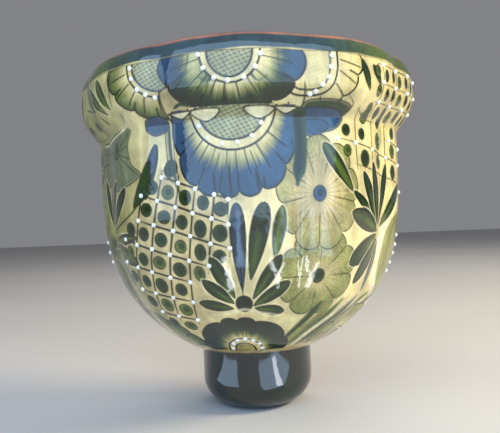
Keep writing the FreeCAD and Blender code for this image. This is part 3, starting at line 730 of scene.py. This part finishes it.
def paint_valley_pools_and_dark_reflection(canvas):
    """Dark in the valleys beside the front lobe: glaze pooled there, with a painted dark reflection over it.
    """
    canvas.stroke([(-21.6, 66), (-21.2, 90), (-19.6, 112), (-17.5, 124)], 3.4, GREEN, cover=0.85, soft=2)
    for shift in (-1.2, 0.3, 1.4):
        canvas.stroke([(-21.6 + shift, 66), (-21.2 + shift, 92), (-19.8 + shift, 112)], 0.8)
    canvas.stroke([(20.6, 66), (20.8, 92), (19.4, 116)], 10.0, GREEN, soft=1.6, ends=(1, 0.3))
    canvas.stroke([(20.2, 68), (20.4, 92), (19.2, 112)], 6.0, DEEP, soft=2, ends=(1, 0.3))
    for angle in (-58.5, 58.5):
        canvas.stroke([(angle, 70), (angle, 76), (angle, 84)], 1.2, GREEN, cover=0.6)


def paint_wall(canvas):
    every = np.arange(len(canvas.angle))
    canvas.lay(every, BUFF, smoothstep(30, -30, canvas.angle) * smoothstep(70, 110, canvas.along) * 0.9)
    # painted warm sunlight: the right side yellowed over the cream ground
    canvas.lay(every, STRAW, smoothstep(25, 60, canvas.angle) * 0.4)
    canvas.lay(every, OLIVE, smoothstep(-30, -48, canvas.angle) * 0.75)
    canvas.lay(every, LEAF, smoothstep(-50, -70, canvas.angle) * smoothstep(25, 60, canvas.along) * 0.5)
    paint_rim_flowers(canvas)
    paint_rim_sides(canvas)
    paint_rim_band(canvas)
    paint_left_lobes(canvas)
    paint_right_lobes(canvas)
    paint_left_lattice(canvas)
    paint_front_lobe(canvas)
    paint_neck_scallops(canvas)
    paint_valley_pools_and_dark_reflection(canvas)
    paint_base(canvas)


# ---- materials -----------------------------------------------------------
def new_material(name):
    material = bpy.data.materials.new(name)
    material.use_nodes = True
    tree = material.node_tree
    tree.nodes.clear()
    shader = tree.nodes.new("ShaderNodeBsdfPrincipled")
    output = tree.nodes.new("ShaderNodeOutputMaterial")
    tree.links.new(shader.outputs["BSDF"], output.inputs["Surface"])
    return material, tree, shader


def add_noise(tree, scale, detail=3.0, stretch=(1.0, 1.0, 1.0)):
    place = tree.nodes.new("ShaderNodeTexCoord")
    mapping = tree.nodes.new("ShaderNodeMapping")
    mapping.inputs["Scale"].default_value = stretch
    noise = tree.nodes.new("ShaderNodeTexNoise")
    noise.inputs["Scale"].default_value = scale
    noise.inputs["Detail"].default_value = detail
    tree.links.new(place.outputs["Object"], mapping.inputs["Vector"])
    tree.links.new(mapping.outputs["Vector"], noise.inputs["Vector"])
    return noise.outputs["Fac"]


def add_range(tree, value, low, high, to_low, to_high):
    node = tree.nodes.new("ShaderNodeMapRange")
    for name, number in (("From Min", low), ("From Max", high), ("To Min", to_low), ("To Max", to_high)):
        node.inputs[name].default_value = number
    tree.links.new(value, node.inputs["Value"])
    return node.outputs["Result"]


def add_mix(tree, kind, factor, first, second):
    node = tree.nodes.new("ShaderNodeMix")
    node.data_type = "RGBA"
    node.blend_type = kind
    for socket, value in ((node.inputs[0], factor), (node.inputs[6], first), (node.inputs[7], second)):
        if isinstance(value, bpy.types.NodeSocket):
            tree.links.new(value, socket)
        elif isinstance(value, float):
            socket.default_value = value
        else:
            socket.default_value = (*value, 1.0)
    return node.outputs[2]


def add_bump(tree, shader, height, strength, distance, under=None):
    bump = tree.nodes.new("ShaderNodeBump")
    bump.inputs["Strength"].default_value = strength
    bump.inputs["Distance"].default_value = distance
    tree.links.new(height, bump.inputs["Height"])
    if under is not None:
        tree.links.new(under, bump.inputs["Normal"])
    tree.links.new(bump.outputs["Normal"], shader.inputs["Normal"])
    return bump.outputs["Normal"]


def set_gloss(shader):
    """A thick lead glaze: a strong clear reflection over the colour."""
    shader.inputs["IOR"].default_value = 1.65
    shader.inputs["Coat Weight"].default_value = 0.3
    shader.inputs["Coat IOR"].default_value = 1.55
    shader.inputs["Coat Roughness"].default_value = 0.03


def set_roughness(tree, shader, scale, low, high):
    """Uneven gloss, as noise of the given scale."""
    uneven = add_range(tree, add_noise(tree, scale, 2), 0.3, 0.7, low, high)
    tree.links.new(uneven, shader.inputs["Roughness"])


def painted_glaze_material():
    """Clear lead glaze over the painted colours: pigment clouds, streaks and a slow ripple."""
    material, tree, shader = new_material("painted_glaze_look")
    paint = tree.nodes.new("ShaderNodeAttribute")
    paint.attribute_name = "paint"
    cloud = add_range(tree, add_noise(tree, 55, 4), 0.35, 0.65, 0.72, 1.12)
    streaks = add_range(tree, add_noise(tree, 200, 3, (1.0, 1.0, 0.1)), 0.3, 0.7, 0.8, 1.1)
    clouded = add_mix(tree, "MULTIPLY", 1.0, paint.outputs["Color"], cloud)
    colour = add_mix(tree, "MULTIPLY", 1.0, clouded, streaks)
    tree.links.new(colour, shader.inputs["Base Color"])
    set_gloss(shader)
    set_roughness(tree, shader, 90, 0.05, 0.11)
    raised = tree.nodes.new("ShaderNodeAttribute")
    raised.attribute_name = "raised"
    ripple = add_bump(tree, shader, add_noise(tree, 42, 3), 0.3, 0.003)
    add_bump(tree, shader, raised.outputs["Fac"], 0.7, 0.0008, under=ripple)
    return material


def green_glaze_material():
    """Deep green glaze, run thinner and paler at the edges of its drips."""
    material, tree, shader = new_material("green_glaze_look")
    runs = add_range(tree, add_noise(tree, 28, 4, (1.0, 1.0, 0.4)), 0.42, 0.72, 0.0, 1.0)
    colour = add_mix(tree, "MIX", runs, tuple(linear(9, 20, 16)), tuple(linear(30, 52, 30)))
    tree.links.new(colour, shader.inputs["Base Color"])
    set_gloss(shader)
    set_roughness(tree, shader, 70, 0.04, 0.09)
    add_bump(tree, shader, add_noise(tree, 34, 2), 0.2, 0.003)
    return material


def bare_clay_material():
    """Low-fired red clay with fine grog, smears and pits."""
    material, tree, shader = new_material("bare_clay_look")
    broad = add_range(tree, add_noise(tree, 22, 4), 0.35, 0.65, 0.0, 1.0)
    grain = add_range(tree, add_noise(tree, 900, 2), 0.35, 0.65, 0.86, 1.1)
    colour = add_mix(tree, "MIX", broad, tuple(linear(160, 100, 74)), tuple(linear(184, 128, 98)))
    tree.links.new(add_mix(tree, "MULTIPLY", 1.0, colour, grain), shader.inputs["Base Color"])
    set_roughness(tree, shader, 300, 0.72, 0.92)
    add_bump(tree, shader, add_noise(tree, 420, 4), 0.35, 0.0008)
    return material


def raised_slip_material():
    """White slip under clear glaze."""
    material, tree, shader = new_material("raised_slip_look")
    cloud = add_range(tree, add_noise(tree, 240, 2), 0.35, 0.65, 0.0, 1.0)
    colour = add_mix(tree, "MIX", cloud, tuple(linear(226, 226, 212)), tuple(linear(246, 247, 242)))
    tree.links.new(colour, shader.inputs["Base Color"])
    shader.inputs["IOR"].default_value = 1.6
    shader.inputs["Roughness"].default_value = 0.12
    return material


PAINTED = painted_glaze_material()
GREEN_GLAZE = green_glaze_material()
BARE_CLAY = bare_clay_material()
RAISED_SLIP = raised_slip_material()


# ---- meshes --------------------------------------------------------------
def face_outwards(mesh):
    fix = bmesh.new()
    fix.from_mesh(mesh)
    bmesh.ops.recalc_face_normals(fix, faces=fix.faces)
    fix.to_mesh(mesh)
    fix.free()


def new_piece(name, vertices, faces, material, nodes, sharp=40):
    mesh = bpy.data.meshes.new(name)
    mesh.from_pydata(np.asarray(vertices).tolist(), [], faces)
    mesh.validate()
    mesh.shade_smooth()
    mesh.set_sharp_from_angle(angle=math.radians(sharp))
    mesh.materials.append(material)
    piece = bpy.data.objects.new(name, mesh)
    bpy.context.scene.collection.objects.link(piece)
    face_outwards(mesh)
    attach(piece, "root")
    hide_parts(*nodes)
    return piece


def grid_faces(rows, columns, start=0):
    i, j = np.meshgrid(np.arange(rows - 1), np.arange(columns - 1), indexing="ij")
    corner = (start + i * columns + j).ravel()
    return np.stack([corner, corner + 1, corner + columns + 1, corner + columns], -1)


def border(rows, columns):
    """Indices round a grid's edge, in order."""
    top = list(range(columns))
    right = [r * columns + columns - 1 for r in range(1, rows)]
    low = [(rows - 1) * columns + c for c in range(columns - 2, -1, -1)]
    left = [r * columns for r in range(rows - 2, 0, -1)]
    return top + right + low + left


def closed_sheet(outer, inner):
    """Vertices and faces of a thin closed skin between two grids of the same size."""
    rows, columns = outer.shape[:2]
    count = rows * columns
    faces = grid_faces(rows, columns).tolist() + grid_faces(rows, columns, count)[:, ::-1].tolist()
    edge = border(rows, columns)
    for a, b in zip(edge, edge[1:] + edge[:1]):
        faces.append((b, a, a + count, b + count))
    return np.concatenate([outer.reshape(-1, 3), inner.reshape(-1, 3)]), faces


def lens(outer):
    """Vertices and faces of a lobe closed at its back by straight chords from side to side."""
    rows, columns = outer.shape[:2]
    faces = grid_faces(rows, columns).tolist()
    for row in range(rows - 1):
        a, b = row * columns, (row + 1) * columns
        faces.append((a, b, b + columns - 1, a + columns - 1))
    faces.append(list(range(columns))[::-1])
    faces.append(list(range((rows - 1) * columns, rows * columns)))
    return outer.reshape(-1, 3), faces


def set_paint(piece, colour, raised):
    mesh = piece.data
    attribute = mesh.attributes.new("paint", "FLOAT_COLOR", "POINT")
    padded = np.ones((len(mesh.vertices), 4), np.float32)
    padded[:len(colour), :3] = colour
    padded[len(colour):, :3] = CREAM
    attribute.data.foreach_set("color", padded.ravel())
    height = mesh.attributes.new("raised", "FLOAT", "POINT")
    values = np.zeros(len(mesh.vertices), np.float32)
    values[:len(raised)] = raised
    height.data.foreach_set("value", values)


# ---- wall profile paths --------------------------------------------------
LIP_ROUND = 2.2
LIP_INSIDE = 12.0
FLAT_START = 0.12
FLAT_SPAN = 0.76


def rim_path(spacing):
    """Rows of the rim's skin from the neck up, over the lip and a little way down inside.

    Each row is (along, drop, share of the way in from the outside to the hollow, inward step).
    """
    rows = [(t, float(drop_at(t)), 0.0, 0.0) for t in
            np.linspace(NECK_ALONG, LIP_ROUND * 1.4, int((NECK_ALONG - 3) / spacing))]
    start_drop = rows[-1][1]
    for turn in np.radians(np.linspace(15, 90, 6)):
        drop = start_drop * (1 - math.sin(turn))
        rows.append((rows[-1][0] - 0.6, drop, 0.0, LIP_ROUND * (1 - math.cos(turn))))
    for share in np.linspace(FLAT_START, FLAT_START + FLAT_SPAN, 8):
        rows.append((rows[-1][0] - 1.1, 0.0, share, 0.0))
    for turn in np.radians(np.linspace(15, 90, 6)):
        drop = LIP_ROUND * (1 - math.cos(turn))
        rows.append((rows[-1][0] - 0.6, drop, 1.0, -LIP_ROUND * (1 - math.sin(turn))))
    for drop in np.linspace(LIP_ROUND + 1, LIP_INSIDE, 9):
        rows.append((rows[-1][0] - 1.1, float(drop), 1.0, 0.0))
    return rows


def spread_rows(rows, angles):
    """The grid of angles, then a grid for each value that the rows of a path hold."""
    grids = [np.array(values, float)[:, None] + 0 * angles[None] for values in zip(*rows)]
    return [angles[None] + 0 * grids[0]] + grids


def rim_grid(angles, spacing):
    """Angle, place down the wall, radius and drop of a lobe of the rim's skin."""
    angle, along, drop, share, step = spread_rows(rim_path(spacing), angles)
    outside = wall_radius(angle, drop)
    hollow = hollow_at(drop)
    inwards = share - FLAT_START
    flat = (outside - LIP_ROUND) * (1 - inwards / FLAT_SPAN) + (hollow + LIP_ROUND) * inwards / FLAT_SPAN
    radius = np.where(share == 0, outside - step, np.where(share == 1, hollow - step, flat))
    return angle, along, radius, drop


def grid_normals(points):
    down = np.gradient(points, axis=0)
    across = np.gradient(points, axis=1)
    normal = np.cross(down, across)
    return normal / np.maximum(np.linalg.norm(normal, axis=-1, keepdims=True), 1e-12)


def flush_sides(points, angle):
    """Put the last column of a side lobe on the slab's front face."""
    at_side = np.abs(np.abs(angle) - SIDE_ANGLE) < 1e-6
    points[..., 1] = np.where(at_side, -SLAB_THICK * MM, points[..., 1])
    points[..., 0] = np.clip(points[..., 0], cad_low.x, cad_high.x)
    return points


LOBES = {
    "far_left": (-SIDE_ANGLE, -VALLEYS[1], 1.0), "left": (-VALLEYS[1], -VALLEYS[0], 0.7),
    "front": (-VALLEYS[0], VALLEYS[0], 0.7), "right": (VALLEYS[0], VALLEYS[1], 0.7),
    "far_right": (VALLEYS[1], SIDE_ANGLE, 1.0),
}


def lobe_angles(low, high, spacing):
    return np.linspace(low, high, int((high - low) * MM_PER_DEGREE / spacing))


def bowl_rows(spacing):
    """Rows of a bowl lobe: down the wall, round the base's edge and in towards the foot."""
    rows = [(t, float(drop_at(t)), 0.0) for t in
            np.linspace(NECK_ALONG, BASE_ALONG - 1.5, int((BASE_ALONG - NECK_ALONG) / spacing))]
    for step in (0.6, 1.6, 3.5, 6.0, 9.5):
        rows.append((BASE_ALONG + step, BASE_DROP, step))
    return rows


def bowl_grid(angles, spacing):
    angle, along, drop, step = spread_rows(bowl_rows(spacing), angles)
    return angle, along, wall_radius(angle, drop) - step, drop


def make_painted_lobes():
    """Every lobe of the rim and bowl, painted together so that the design runs across them."""
    grids = []
    for name, (low, high, spacing) in LOBES.items():
        angles = lobe_angles(low, high, spacing)
        grids.append(("rim_glaze_" + name, "rim_collar", rim_grid(angles, spacing)))
        grids.append(("bowl_glaze_" + name, "bowl_shell", bowl_grid(angles, spacing)))
    angle, along = (np.concatenate([grid[2][k].ravel() for grid in grids]) for k in (0, 1))
    canvas = Canvas(angle, along, CREAM)
    paint_wall(canvas)
    start = 0
    for name, node, (angles, alongs, radius, drop) in grids:
        points = flush_sides(to_frame(angles, radius, drop), angles)
        count = angles.size
        if node == "rim_collar":
            inner = points - grid_normals(points) * GLAZE_THICK * MM * wall_side(points)
            vertices, faces = closed_sheet(points, flush_sides(inner, angles))
        else:
            vertices, faces = lens(points)
        piece = new_piece(name, vertices, faces, PAINTED, [node])
        set_paint(piece, canvas.colour[start:start + count], canvas.raised[start:start + count])
        start += count


def wall_side(points):
    """+1 or -1, so that the grid's normal points out of the wall."""
    normal = grid_normals(points)
    row = 5
    middle = points.shape[1] // 2
    centre = np.array([0, -AXIS_GAP * MM, points[row, middle, 2]])
    return 1.0 if normal[row, middle] @ (points[row, middle] - centre) > 0 else -1.0


def clay_ring(name, node, drops, top_inset):
    """The clay of a ring: its outside just under the glaze and its hollow inside."""
    angles = np.linspace(-SIDE_ANGLE, SIDE_ANGLE, 240)
    angle, drop = spread_rows([(d,) for d in drops], angles)
    skin = GLAZE_THICK * 0.8
    outside = wall_radius(angle, drop) - skin
    outer = flush_sides(to_frame(angle, outside, drop), angle)
    hollow = hollow_at(drop)
    lip = (drop < LIP_INSIDE) & (top_inset > 0)
    hollow = hollow + np.where(lip, skin, 0.0)
    beyond = np.maximum(np.abs(angle) - 90, 0)
    straight = hollow / np.cos(np.radians(beyond))
    inner = flush_sides(to_frame(angle, np.minimum(straight, outside - 1), drop), angle)
    for sheet in (outer, inner):
        sheet[..., 2] -= np.where(drop == 0, top_inset * MM, 0)
    vertices, faces = closed_sheet(outer, inner)
    return new_piece(name, vertices, faces, BARE_CLAY, [node])


def make_clay():
    rim_drops = [0, 1, 3, 6, 9, LIP_INSIDE, LIP_INSIDE + 0.1] + list(np.linspace(14, NECK_DROP, 30))
    clay_ring("rim_clay", "rim_collar", rim_drops, GLAZE_THICK)
    clay_ring("bowl_clay", "bowl_shell", np.linspace(NECK_DROP, BASE_DROP, 90), 0.0)


FOOT_BEND = 24.0
FOOT_HOLLOW = 42.0
FOOT_DEPTH = 35
CUT_SHARP = 35
MOUNTS = {mount["name"]: mount for mount in frame["record"]["mounts"]}


def new_drill(mount, segments, depth, place):
    """A cylinder of a mount's bore, to cut with."""
    radius = MOUNTS[mount]["dims"]["r_mm"] * MM
    shape = bmesh.new()
    bmesh.ops.create_cone(shape, cap_ends=True, segments=segments, radius1=radius, radius2=radius,
                          depth=depth, matrix=place)
    mesh = bpy.data.meshes.new(mount + "_drill")
    shape.to_mesh(mesh)
    shape.free()
    return bpy.data.objects.new(mount + "_drill", mesh)


def make_slab():
    """The flat back with its hanging hole, its edges eased by hand."""
    foot_low = (RIM_TOP - cad_low.z) / MM
    foot_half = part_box("foot_knob")[1].x / MM
    widest = cad_high.x / MM
    side = [(min(float(crest_at(d) - valley_at(d)), widest), float(d))
            for d in np.linspace(0, BASE_DROP, 80)]
    side.append((foot_half, BASE_DROP))
    for turn in np.radians(np.linspace(0, 90, 12)):
        side.append((foot_half - FOOT_BEND + FOOT_BEND * math.cos(turn),
                     foot_low - FOOT_BEND + FOOT_BEND * math.sin(turn)))
    outline = side + [(-x, d) for x, d in reversed(side)]
    shape = bmesh.new()
    front = [shape.verts.new((x * MM, -SLAB_THICK * MM, RIM_TOP - d * MM)) for x, d in outline]
    face = shape.faces.new(front)
    moved = bmesh.ops.extrude_face_region(shape, geom=[face])["geom"]
    for vertex in (v for v in moved if isinstance(v, bmesh.types.BMVert)):
        vertex.co.y = 0.0
    bmesh.ops.recalc_face_normals(shape, faces=shape.faces)
    back_edges = [e for e in shape.edges if all(abs(v.co.y) < 1e-6 for v in e.verts)]
    bmesh.ops.bevel(shape, geom=back_edges, offset=0.9 * MM, segments=3, profile=0.5, affect="EDGES")
    mesh = bpy.data.meshes.new("slab_blank")
    shape.to_mesh(mesh)
    shape.free()
    drill = new_drill("hanging_hole", 64, 0.05, Matrix.Rotation(math.radians(90), 4, "X"))
    return bpy.data.objects.new("slab_blank", mesh), drill


def cut(blank, tool, name, material, node):
    """Boolean difference, applied, as a new piece."""
    for item in (blank, tool):
        bpy.context.scene.collection.objects.link(item)
    modifier = blank.modifiers.new("cut", "BOOLEAN")
    modifier.operation = "DIFFERENCE"
    modifier.solver = "EXACT"
    modifier.object = tool
    bpy.context.view_layer.update()
    graph = bpy.context.evaluated_depsgraph_get()
    mesh = bpy.data.meshes.new_from_object(blank.evaluated_get(graph))
    vertices = np.array([v.co[:] for v in mesh.vertices])
    faces = [list(p.vertices) for p in mesh.polygons]
    for item in (blank, tool):
        bpy.data.objects.remove(item)
    bpy.data.meshes.remove(mesh)
    return new_piece(name, vertices, faces, material, [node], CUT_SHARP)


def make_foot():
    """The rounded foot, hollow from above, with its drain hole."""
    low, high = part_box("foot_knob")
    half = high.x / MM
    base = (RIM_TOP - low.z) / MM
    top = (RIM_TOP - high.z) / MM
    profile = [(half, top + s) for s in np.linspace(0, base - FOOT_BEND - top, 16)]
    profile += [(half - FOOT_BEND + FOOT_BEND * math.cos(t), base - FOOT_BEND + FOOT_BEND * math.sin(t))
                for t in np.radians(np.linspace(3, 90, 26))]
    profile += [(r, base) for r in (18, 10, 2)]
    inside = [(FOOT_HOLLOW, top + s) for s in (0, 18, FOOT_DEPTH - 2)]
    inside += [(r, top + FOOT_DEPTH) for r in (FOOT_HOLLOW - 2, 20.0, 2.0)]
    angles = np.concatenate([[-91], np.linspace(-90, 90, 121), [91]])

    def sheet(line):
        angle, radius, drop = spread_rows(line, angles)
        points = to_frame(np.clip(angle, -90, 90), radius, drop)
        points[..., 1] = np.where(np.abs(angle) > 90, -SLAB_THICK * MM, points[..., 1])
        return points

    outer, inner = sheet(profile), sheet(inside)
    columns = len(angles)
    count = outer.shape[0] * columns
    faces = grid_faces(outer.shape[0], columns).tolist()
    faces += grid_faces(inner.shape[0], columns, count)[:, ::-1].tolist()
    for c in range(columns - 1):
        faces.append((c + 1, c, count + c, count + c + 1))
    last_outer = (outer.shape[0] - 1) * columns
    last_inner = count + (inner.shape[0] - 1) * columns
    faces.append([last_outer + c for c in range(columns)])
    faces.append([last_inner + c for c in range(columns)][::-1])
    left_wall = [r * columns for r in range(outer.shape[0])]
    left_in = [count + r * columns for r in range(inner.shape[0])]
    right_wall, right_in = ([corner + columns - 1 for corner in wall] for wall in (left_wall, left_in))
    faces.append(left_wall + right_wall[::-1] + right_in + left_in[::-1])
    mesh = bpy.data.meshes.new("foot_blank")
    mesh.from_pydata(np.concatenate([outer.reshape(-1, 3), inner.reshape(-1, 3)]).tolist(), [], faces)
    face_outwards(mesh)
    across, ahead, _ = MOUNTS["drain_hole"]["pos_m"]
    drill = new_drill("drain_hole", 48, 0.06, Matrix.Translation((across, ahead, low.z)))
    return bpy.data.objects.new("foot_blank", mesh), drill


# ---- slip beads ----------------------------------------------------------
BEAD_RADIUS = 1.9
BEAD_RISE = 1.5
BEAD_SCATTER = 0.5


def arc_places(centre, half_span, depth, start, end, count):
    """Places along half an ellipse that hangs from `centre`; angles run from its lowest point."""
    turns = [math.radians(start + (end - start) * i / (count - 1)) for i in range(count)]
    return [(centre[0] + half_span * math.sin(turn), centre[1] + depth * math.cos(turn)) for turn in turns]


def left_lattice_places():
    return [lattice_place(row, column) for row, (first, last) in enumerate(LATTICE_COLUMNS)
            for column in range(first, last + 1)]


def right_lattice_places():
    places = [(angle, RIGHT_ROWS[1] + right_drop(angle)) for angle in RIGHT_COLUMNS[:5]]
    return places + [(angle, RIGHT_ROWS[0] + right_drop(angle)) for angle in (64, 75)]


def row_down(angle, start, step, count):
    """Places one under another down the wall."""
    return [(angle, start + step * i) for i in range(count)]


BEAD_GROUPS = {
    "rim_centre_beads": arc_places((0.3, 22), 8.2, 20.5, -86, 80, 7),
    "rim_left_beads": arc_places((-20.5, 22), 8.8, 27, -85, -12, 5),
    "rim_right_beads": arc_places((21, 22), 7.3, 31, 12, 85, 6),
    "rim_lattice_beads": [(angle, along) for along in RIM_LATTICE_ROWS for angle in (48, 57, 66, 76)],
    "front_flower_beads": arc_places((-1, 62), 10.6, 25, -65, 65, 6),
    "left_lattice_beads": left_lattice_places(),
    "right_lattice_beads": right_lattice_places(),
    "foot_flower_beads": arc_places((-1.2, 268), 9.5, -23, -75, 75, 7),
    "left_side_beads": row_down(-73.2, 154, 9, 3),
    "right_side_beads": [(77.5, 120)] + row_down(78.4, 157.5, 8.2, 5),
}


def make_beads():
    """Domes of trailed slip, each a closed drop pressed a little into the wall."""
    scatter = random.Random(5)
    shape_of = random.Random(8)
    for name, places in BEAD_GROUPS.items():
        shape = bmesh.new()
        for angle, along in places:
            angle += scatter.uniform(-BEAD_SCATTER, BEAD_SCATTER) / MM_PER_DEGREE
            along += scatter.uniform(-BEAD_SCATTER, BEAD_SCATTER)
            point = Vector(wall_point(angle, along))
            normal = Vector(wall_normal(angle, along))
            if normal.y > 0:
                normal = -normal
            turn = normal.to_track_quat("Z", "Y").to_matrix().to_4x4()
            spin = Matrix.Rotation(shape_of.uniform(0, math.tau), 4, "Z")
            wide = BEAD_RADIUS * MM * shape_of.uniform(0.95, 1.0)
            tall = BEAD_RISE * MM * shape_of.uniform(0.9, 0.99)
            stretch = Matrix.Diagonal((wide, wide * shape_of.uniform(0.9, 1.0), tall, 1))
            bmesh.ops.create_icosphere(shape, subdivisions=3, radius=1.0,
                                       matrix=Matrix.Translation(point) @ turn @ spin @ stretch)
        vertices = [v.co[:] for v in shape.verts]
        faces = [[v.index for v in f.verts] for f in shape.faces]
        shape.free()
        new_piece(name + "_slip", vertices, faces, RAISED_SLIP, [name], 180)


# ---- stage ---------------------------------------------------------------
CARD_LIFT = 0.002
CAMERA_PLACE = (0.039, -0.5172, -0.104)
CAMERA_TURNS = (4.59, 0.91, -2.34)
SENSOR = 36.0
LENS = 38.56


def make_floor():
    size = 6.0
    mesh = bpy.data.meshes.new("floor")
    z = cad_low.z - 0.0005
    corners = [(-size, -size, z), (size, -size, z), (size, size, z), (-size, size, z)]
    mesh.from_pydata(corners, [], [(0, 1, 2, 3)])
    material, tree, shader = new_material("floor_look")
    tint = add_range(tree, add_noise(tree, 2, 2), 0.3, 0.7, 0.50, 0.54)
    tree.links.new(tint, shader.inputs["Base Color"])
    shader.inputs["Roughness"].default_value = 0.9
    mesh.materials.append(material)
    floor = bpy.data.objects.new("floor", mesh)
    bpy.context.scene.collection.objects.link(floor)


def new_area_light(name, size, power, colour):
    data = bpy.data.lights.new(name, "AREA")
    data.shape = "RECTANGLE"
    data.size, data.size_y = size
    data.energy = power
    data.color = colour
    light = bpy.data.objects.new(name, data)
    bpy.context.scene.collection.objects.link(light)
    return light


def add_light(name, place, target, size, power, colour, mirrored=True):
    light = new_area_light(name, size, power, colour)
    light.location = place
    light.visible_glossy = mirrored
    light.rotation_mode = "QUATERNION"
    light.rotation_quaternion = (Vector(target) - Vector(place)).to_track_quat("-Z", "Y")


def add_floor_card(name, start, end, wide, glow, colour, pieces):
    """A card lying on the floor from start to end, facing up, that lights the given pieces only."""
    start, end = Vector((*start, cad_low.z)), Vector((*end, cad_low.z))
    long = (end - start).length
    card = new_area_light(name, (wide, long), glow * wide * long, colour)
    ahead, down = (end - start).normalized(), Vector((0, 0, -1))
    turn = Matrix((ahead.cross(down), ahead, down)).transposed().to_4x4()
    card.matrix_world = Matrix.Translation((start + end) / 2 + Vector((0, 0, CARD_LIFT))) @ turn
    lit = bpy.data.collections.new("lit_by_" + name)
    for piece in pieces:
        lit.objects.link(piece)
    card.light_linking.receiver_collection = lit


def make_lights():
    """A wide cool softbox behind the camera, cards on the floor, and a warm key from the right."""
    middle = (0, -0.09, -0.10)
    sky = (0.48, 0.70, 1.0)
    white = (0.92, 0.97, 1.0)
    foot = [bpy.data.objects["foot_glaze"]]
    bowl = [piece for piece in bpy.data.objects if piece.name.startswith("bowl_glaze_")]
    add_light("sky_box", (0.0, -0.78, 0.33), (0, 0, 0.33), (2.3, 1.15), 18, sky)
    for name, start, end, wide, glow, colour, pieces in (
            ("foot_card_left", (-0.09, -0.085), (-0.165, -0.165), 0.10, 7, sky, foot),
            ("foot_card_right", (0.02, -0.16), (0.18, -0.16), 0.13, 7, sky, foot),
            ("foot_card_core", (0.075, -0.10), (0.13, -0.20), 0.022, 18, white, foot),
            ("belly_card_left", (-0.045, -0.21), (-0.12, -0.38), 0.018, 24, white, bowl),
            ("belly_card_centre", (0.11, -0.22), (0.145, -0.345), 0.016, 24, white, bowl),
            ("belly_card_right", (0.098, -0.195), (0.178, -0.25), 0.016, 20, white, bowl),
            ("sky_card_left", (-0.005, -0.30), (-0.08, -1.10), 0.05, 7, sky, bowl),
            ("sky_card_centre", (0.187, -0.36), (0.60, -1.10), 0.07, 7, sky, bowl),
            ("sky_card_right", (0.23, -0.26), (0.90, -1.00), 0.10, 7, sky, bowl)):
        add_floor_card(name, start, end, wide, glow, colour, pieces)
    add_light("sun_box", (1.5, -0.22, 0.75), middle, (0.45, 0.45), 36, (1.0, 0.84, 0.58), mirrored=False)
    add_light("warm_fill", (-0.5, -0.9, 1.7), middle, (1.2, 1.2), 12, (1.0, 0.86, 0.66), mirrored=False)
    add_light("back_fill", (0.3, 1.3, 1.9), middle, (2.0, 2.0), 16, (1.0, 0.97, 0.93), mirrored=False)
    world = bpy.data.worlds.new("studio")
    world.use_nodes = True
    background = world.node_tree.nodes["Background"]
    background.inputs["Color"].default_value = (0.94, 0.95, 1.0, 1.0)
    background.inputs["Strength"].default_value = 0.24
    bpy.context.scene.world = world


def make_camera():
    """The photograph's viewing angle: level with the belly, from the front, a little to the right."""
    yaw, pitch, roll = (math.radians(a) for a in CAMERA_TURNS)
    ahead = Vector((-math.sin(yaw) * math.cos(pitch), math.cos(yaw) * math.cos(pitch), math.sin(pitch)))
    right = Vector((math.cos(yaw), math.sin(yaw), 0))
    up = right.cross(ahead)
    rolled_right = right * math.cos(roll) + up * math.sin(roll)
    rolled_up = up * math.cos(roll) - right * math.sin(roll)
    data = bpy.data.cameras.new("camera")
    data.sensor_width = SENSOR
    data.lens = LENS
    data.clip_start = 0.01
    camera = bpy.data.objects.new("camera", data)
    rotation = Matrix((rolled_right, rolled_up, -ahead)).transposed().to_4x4()
    camera.matrix_world = Matrix.Translation(CAMERA_PLACE) @ rotation
    bpy.context.scene.collection.objects.link(camera)
    bpy.context.scene.camera = camera


make_painted_lobes()
make_clay()
slab_blank, slab_drill = make_slab()
cut(slab_blank, slab_drill, "back_slab_clay", BARE_CLAY, "back_slab")
foot_blank, foot_drill = make_foot()
cut(foot_blank, foot_drill, "foot_glaze", GREEN_GLAZE, "foot_knob")
make_beads()
make_floor()
make_lights()
make_camera()
bpy.context.scene.view_settings.view_transform = "Standard"
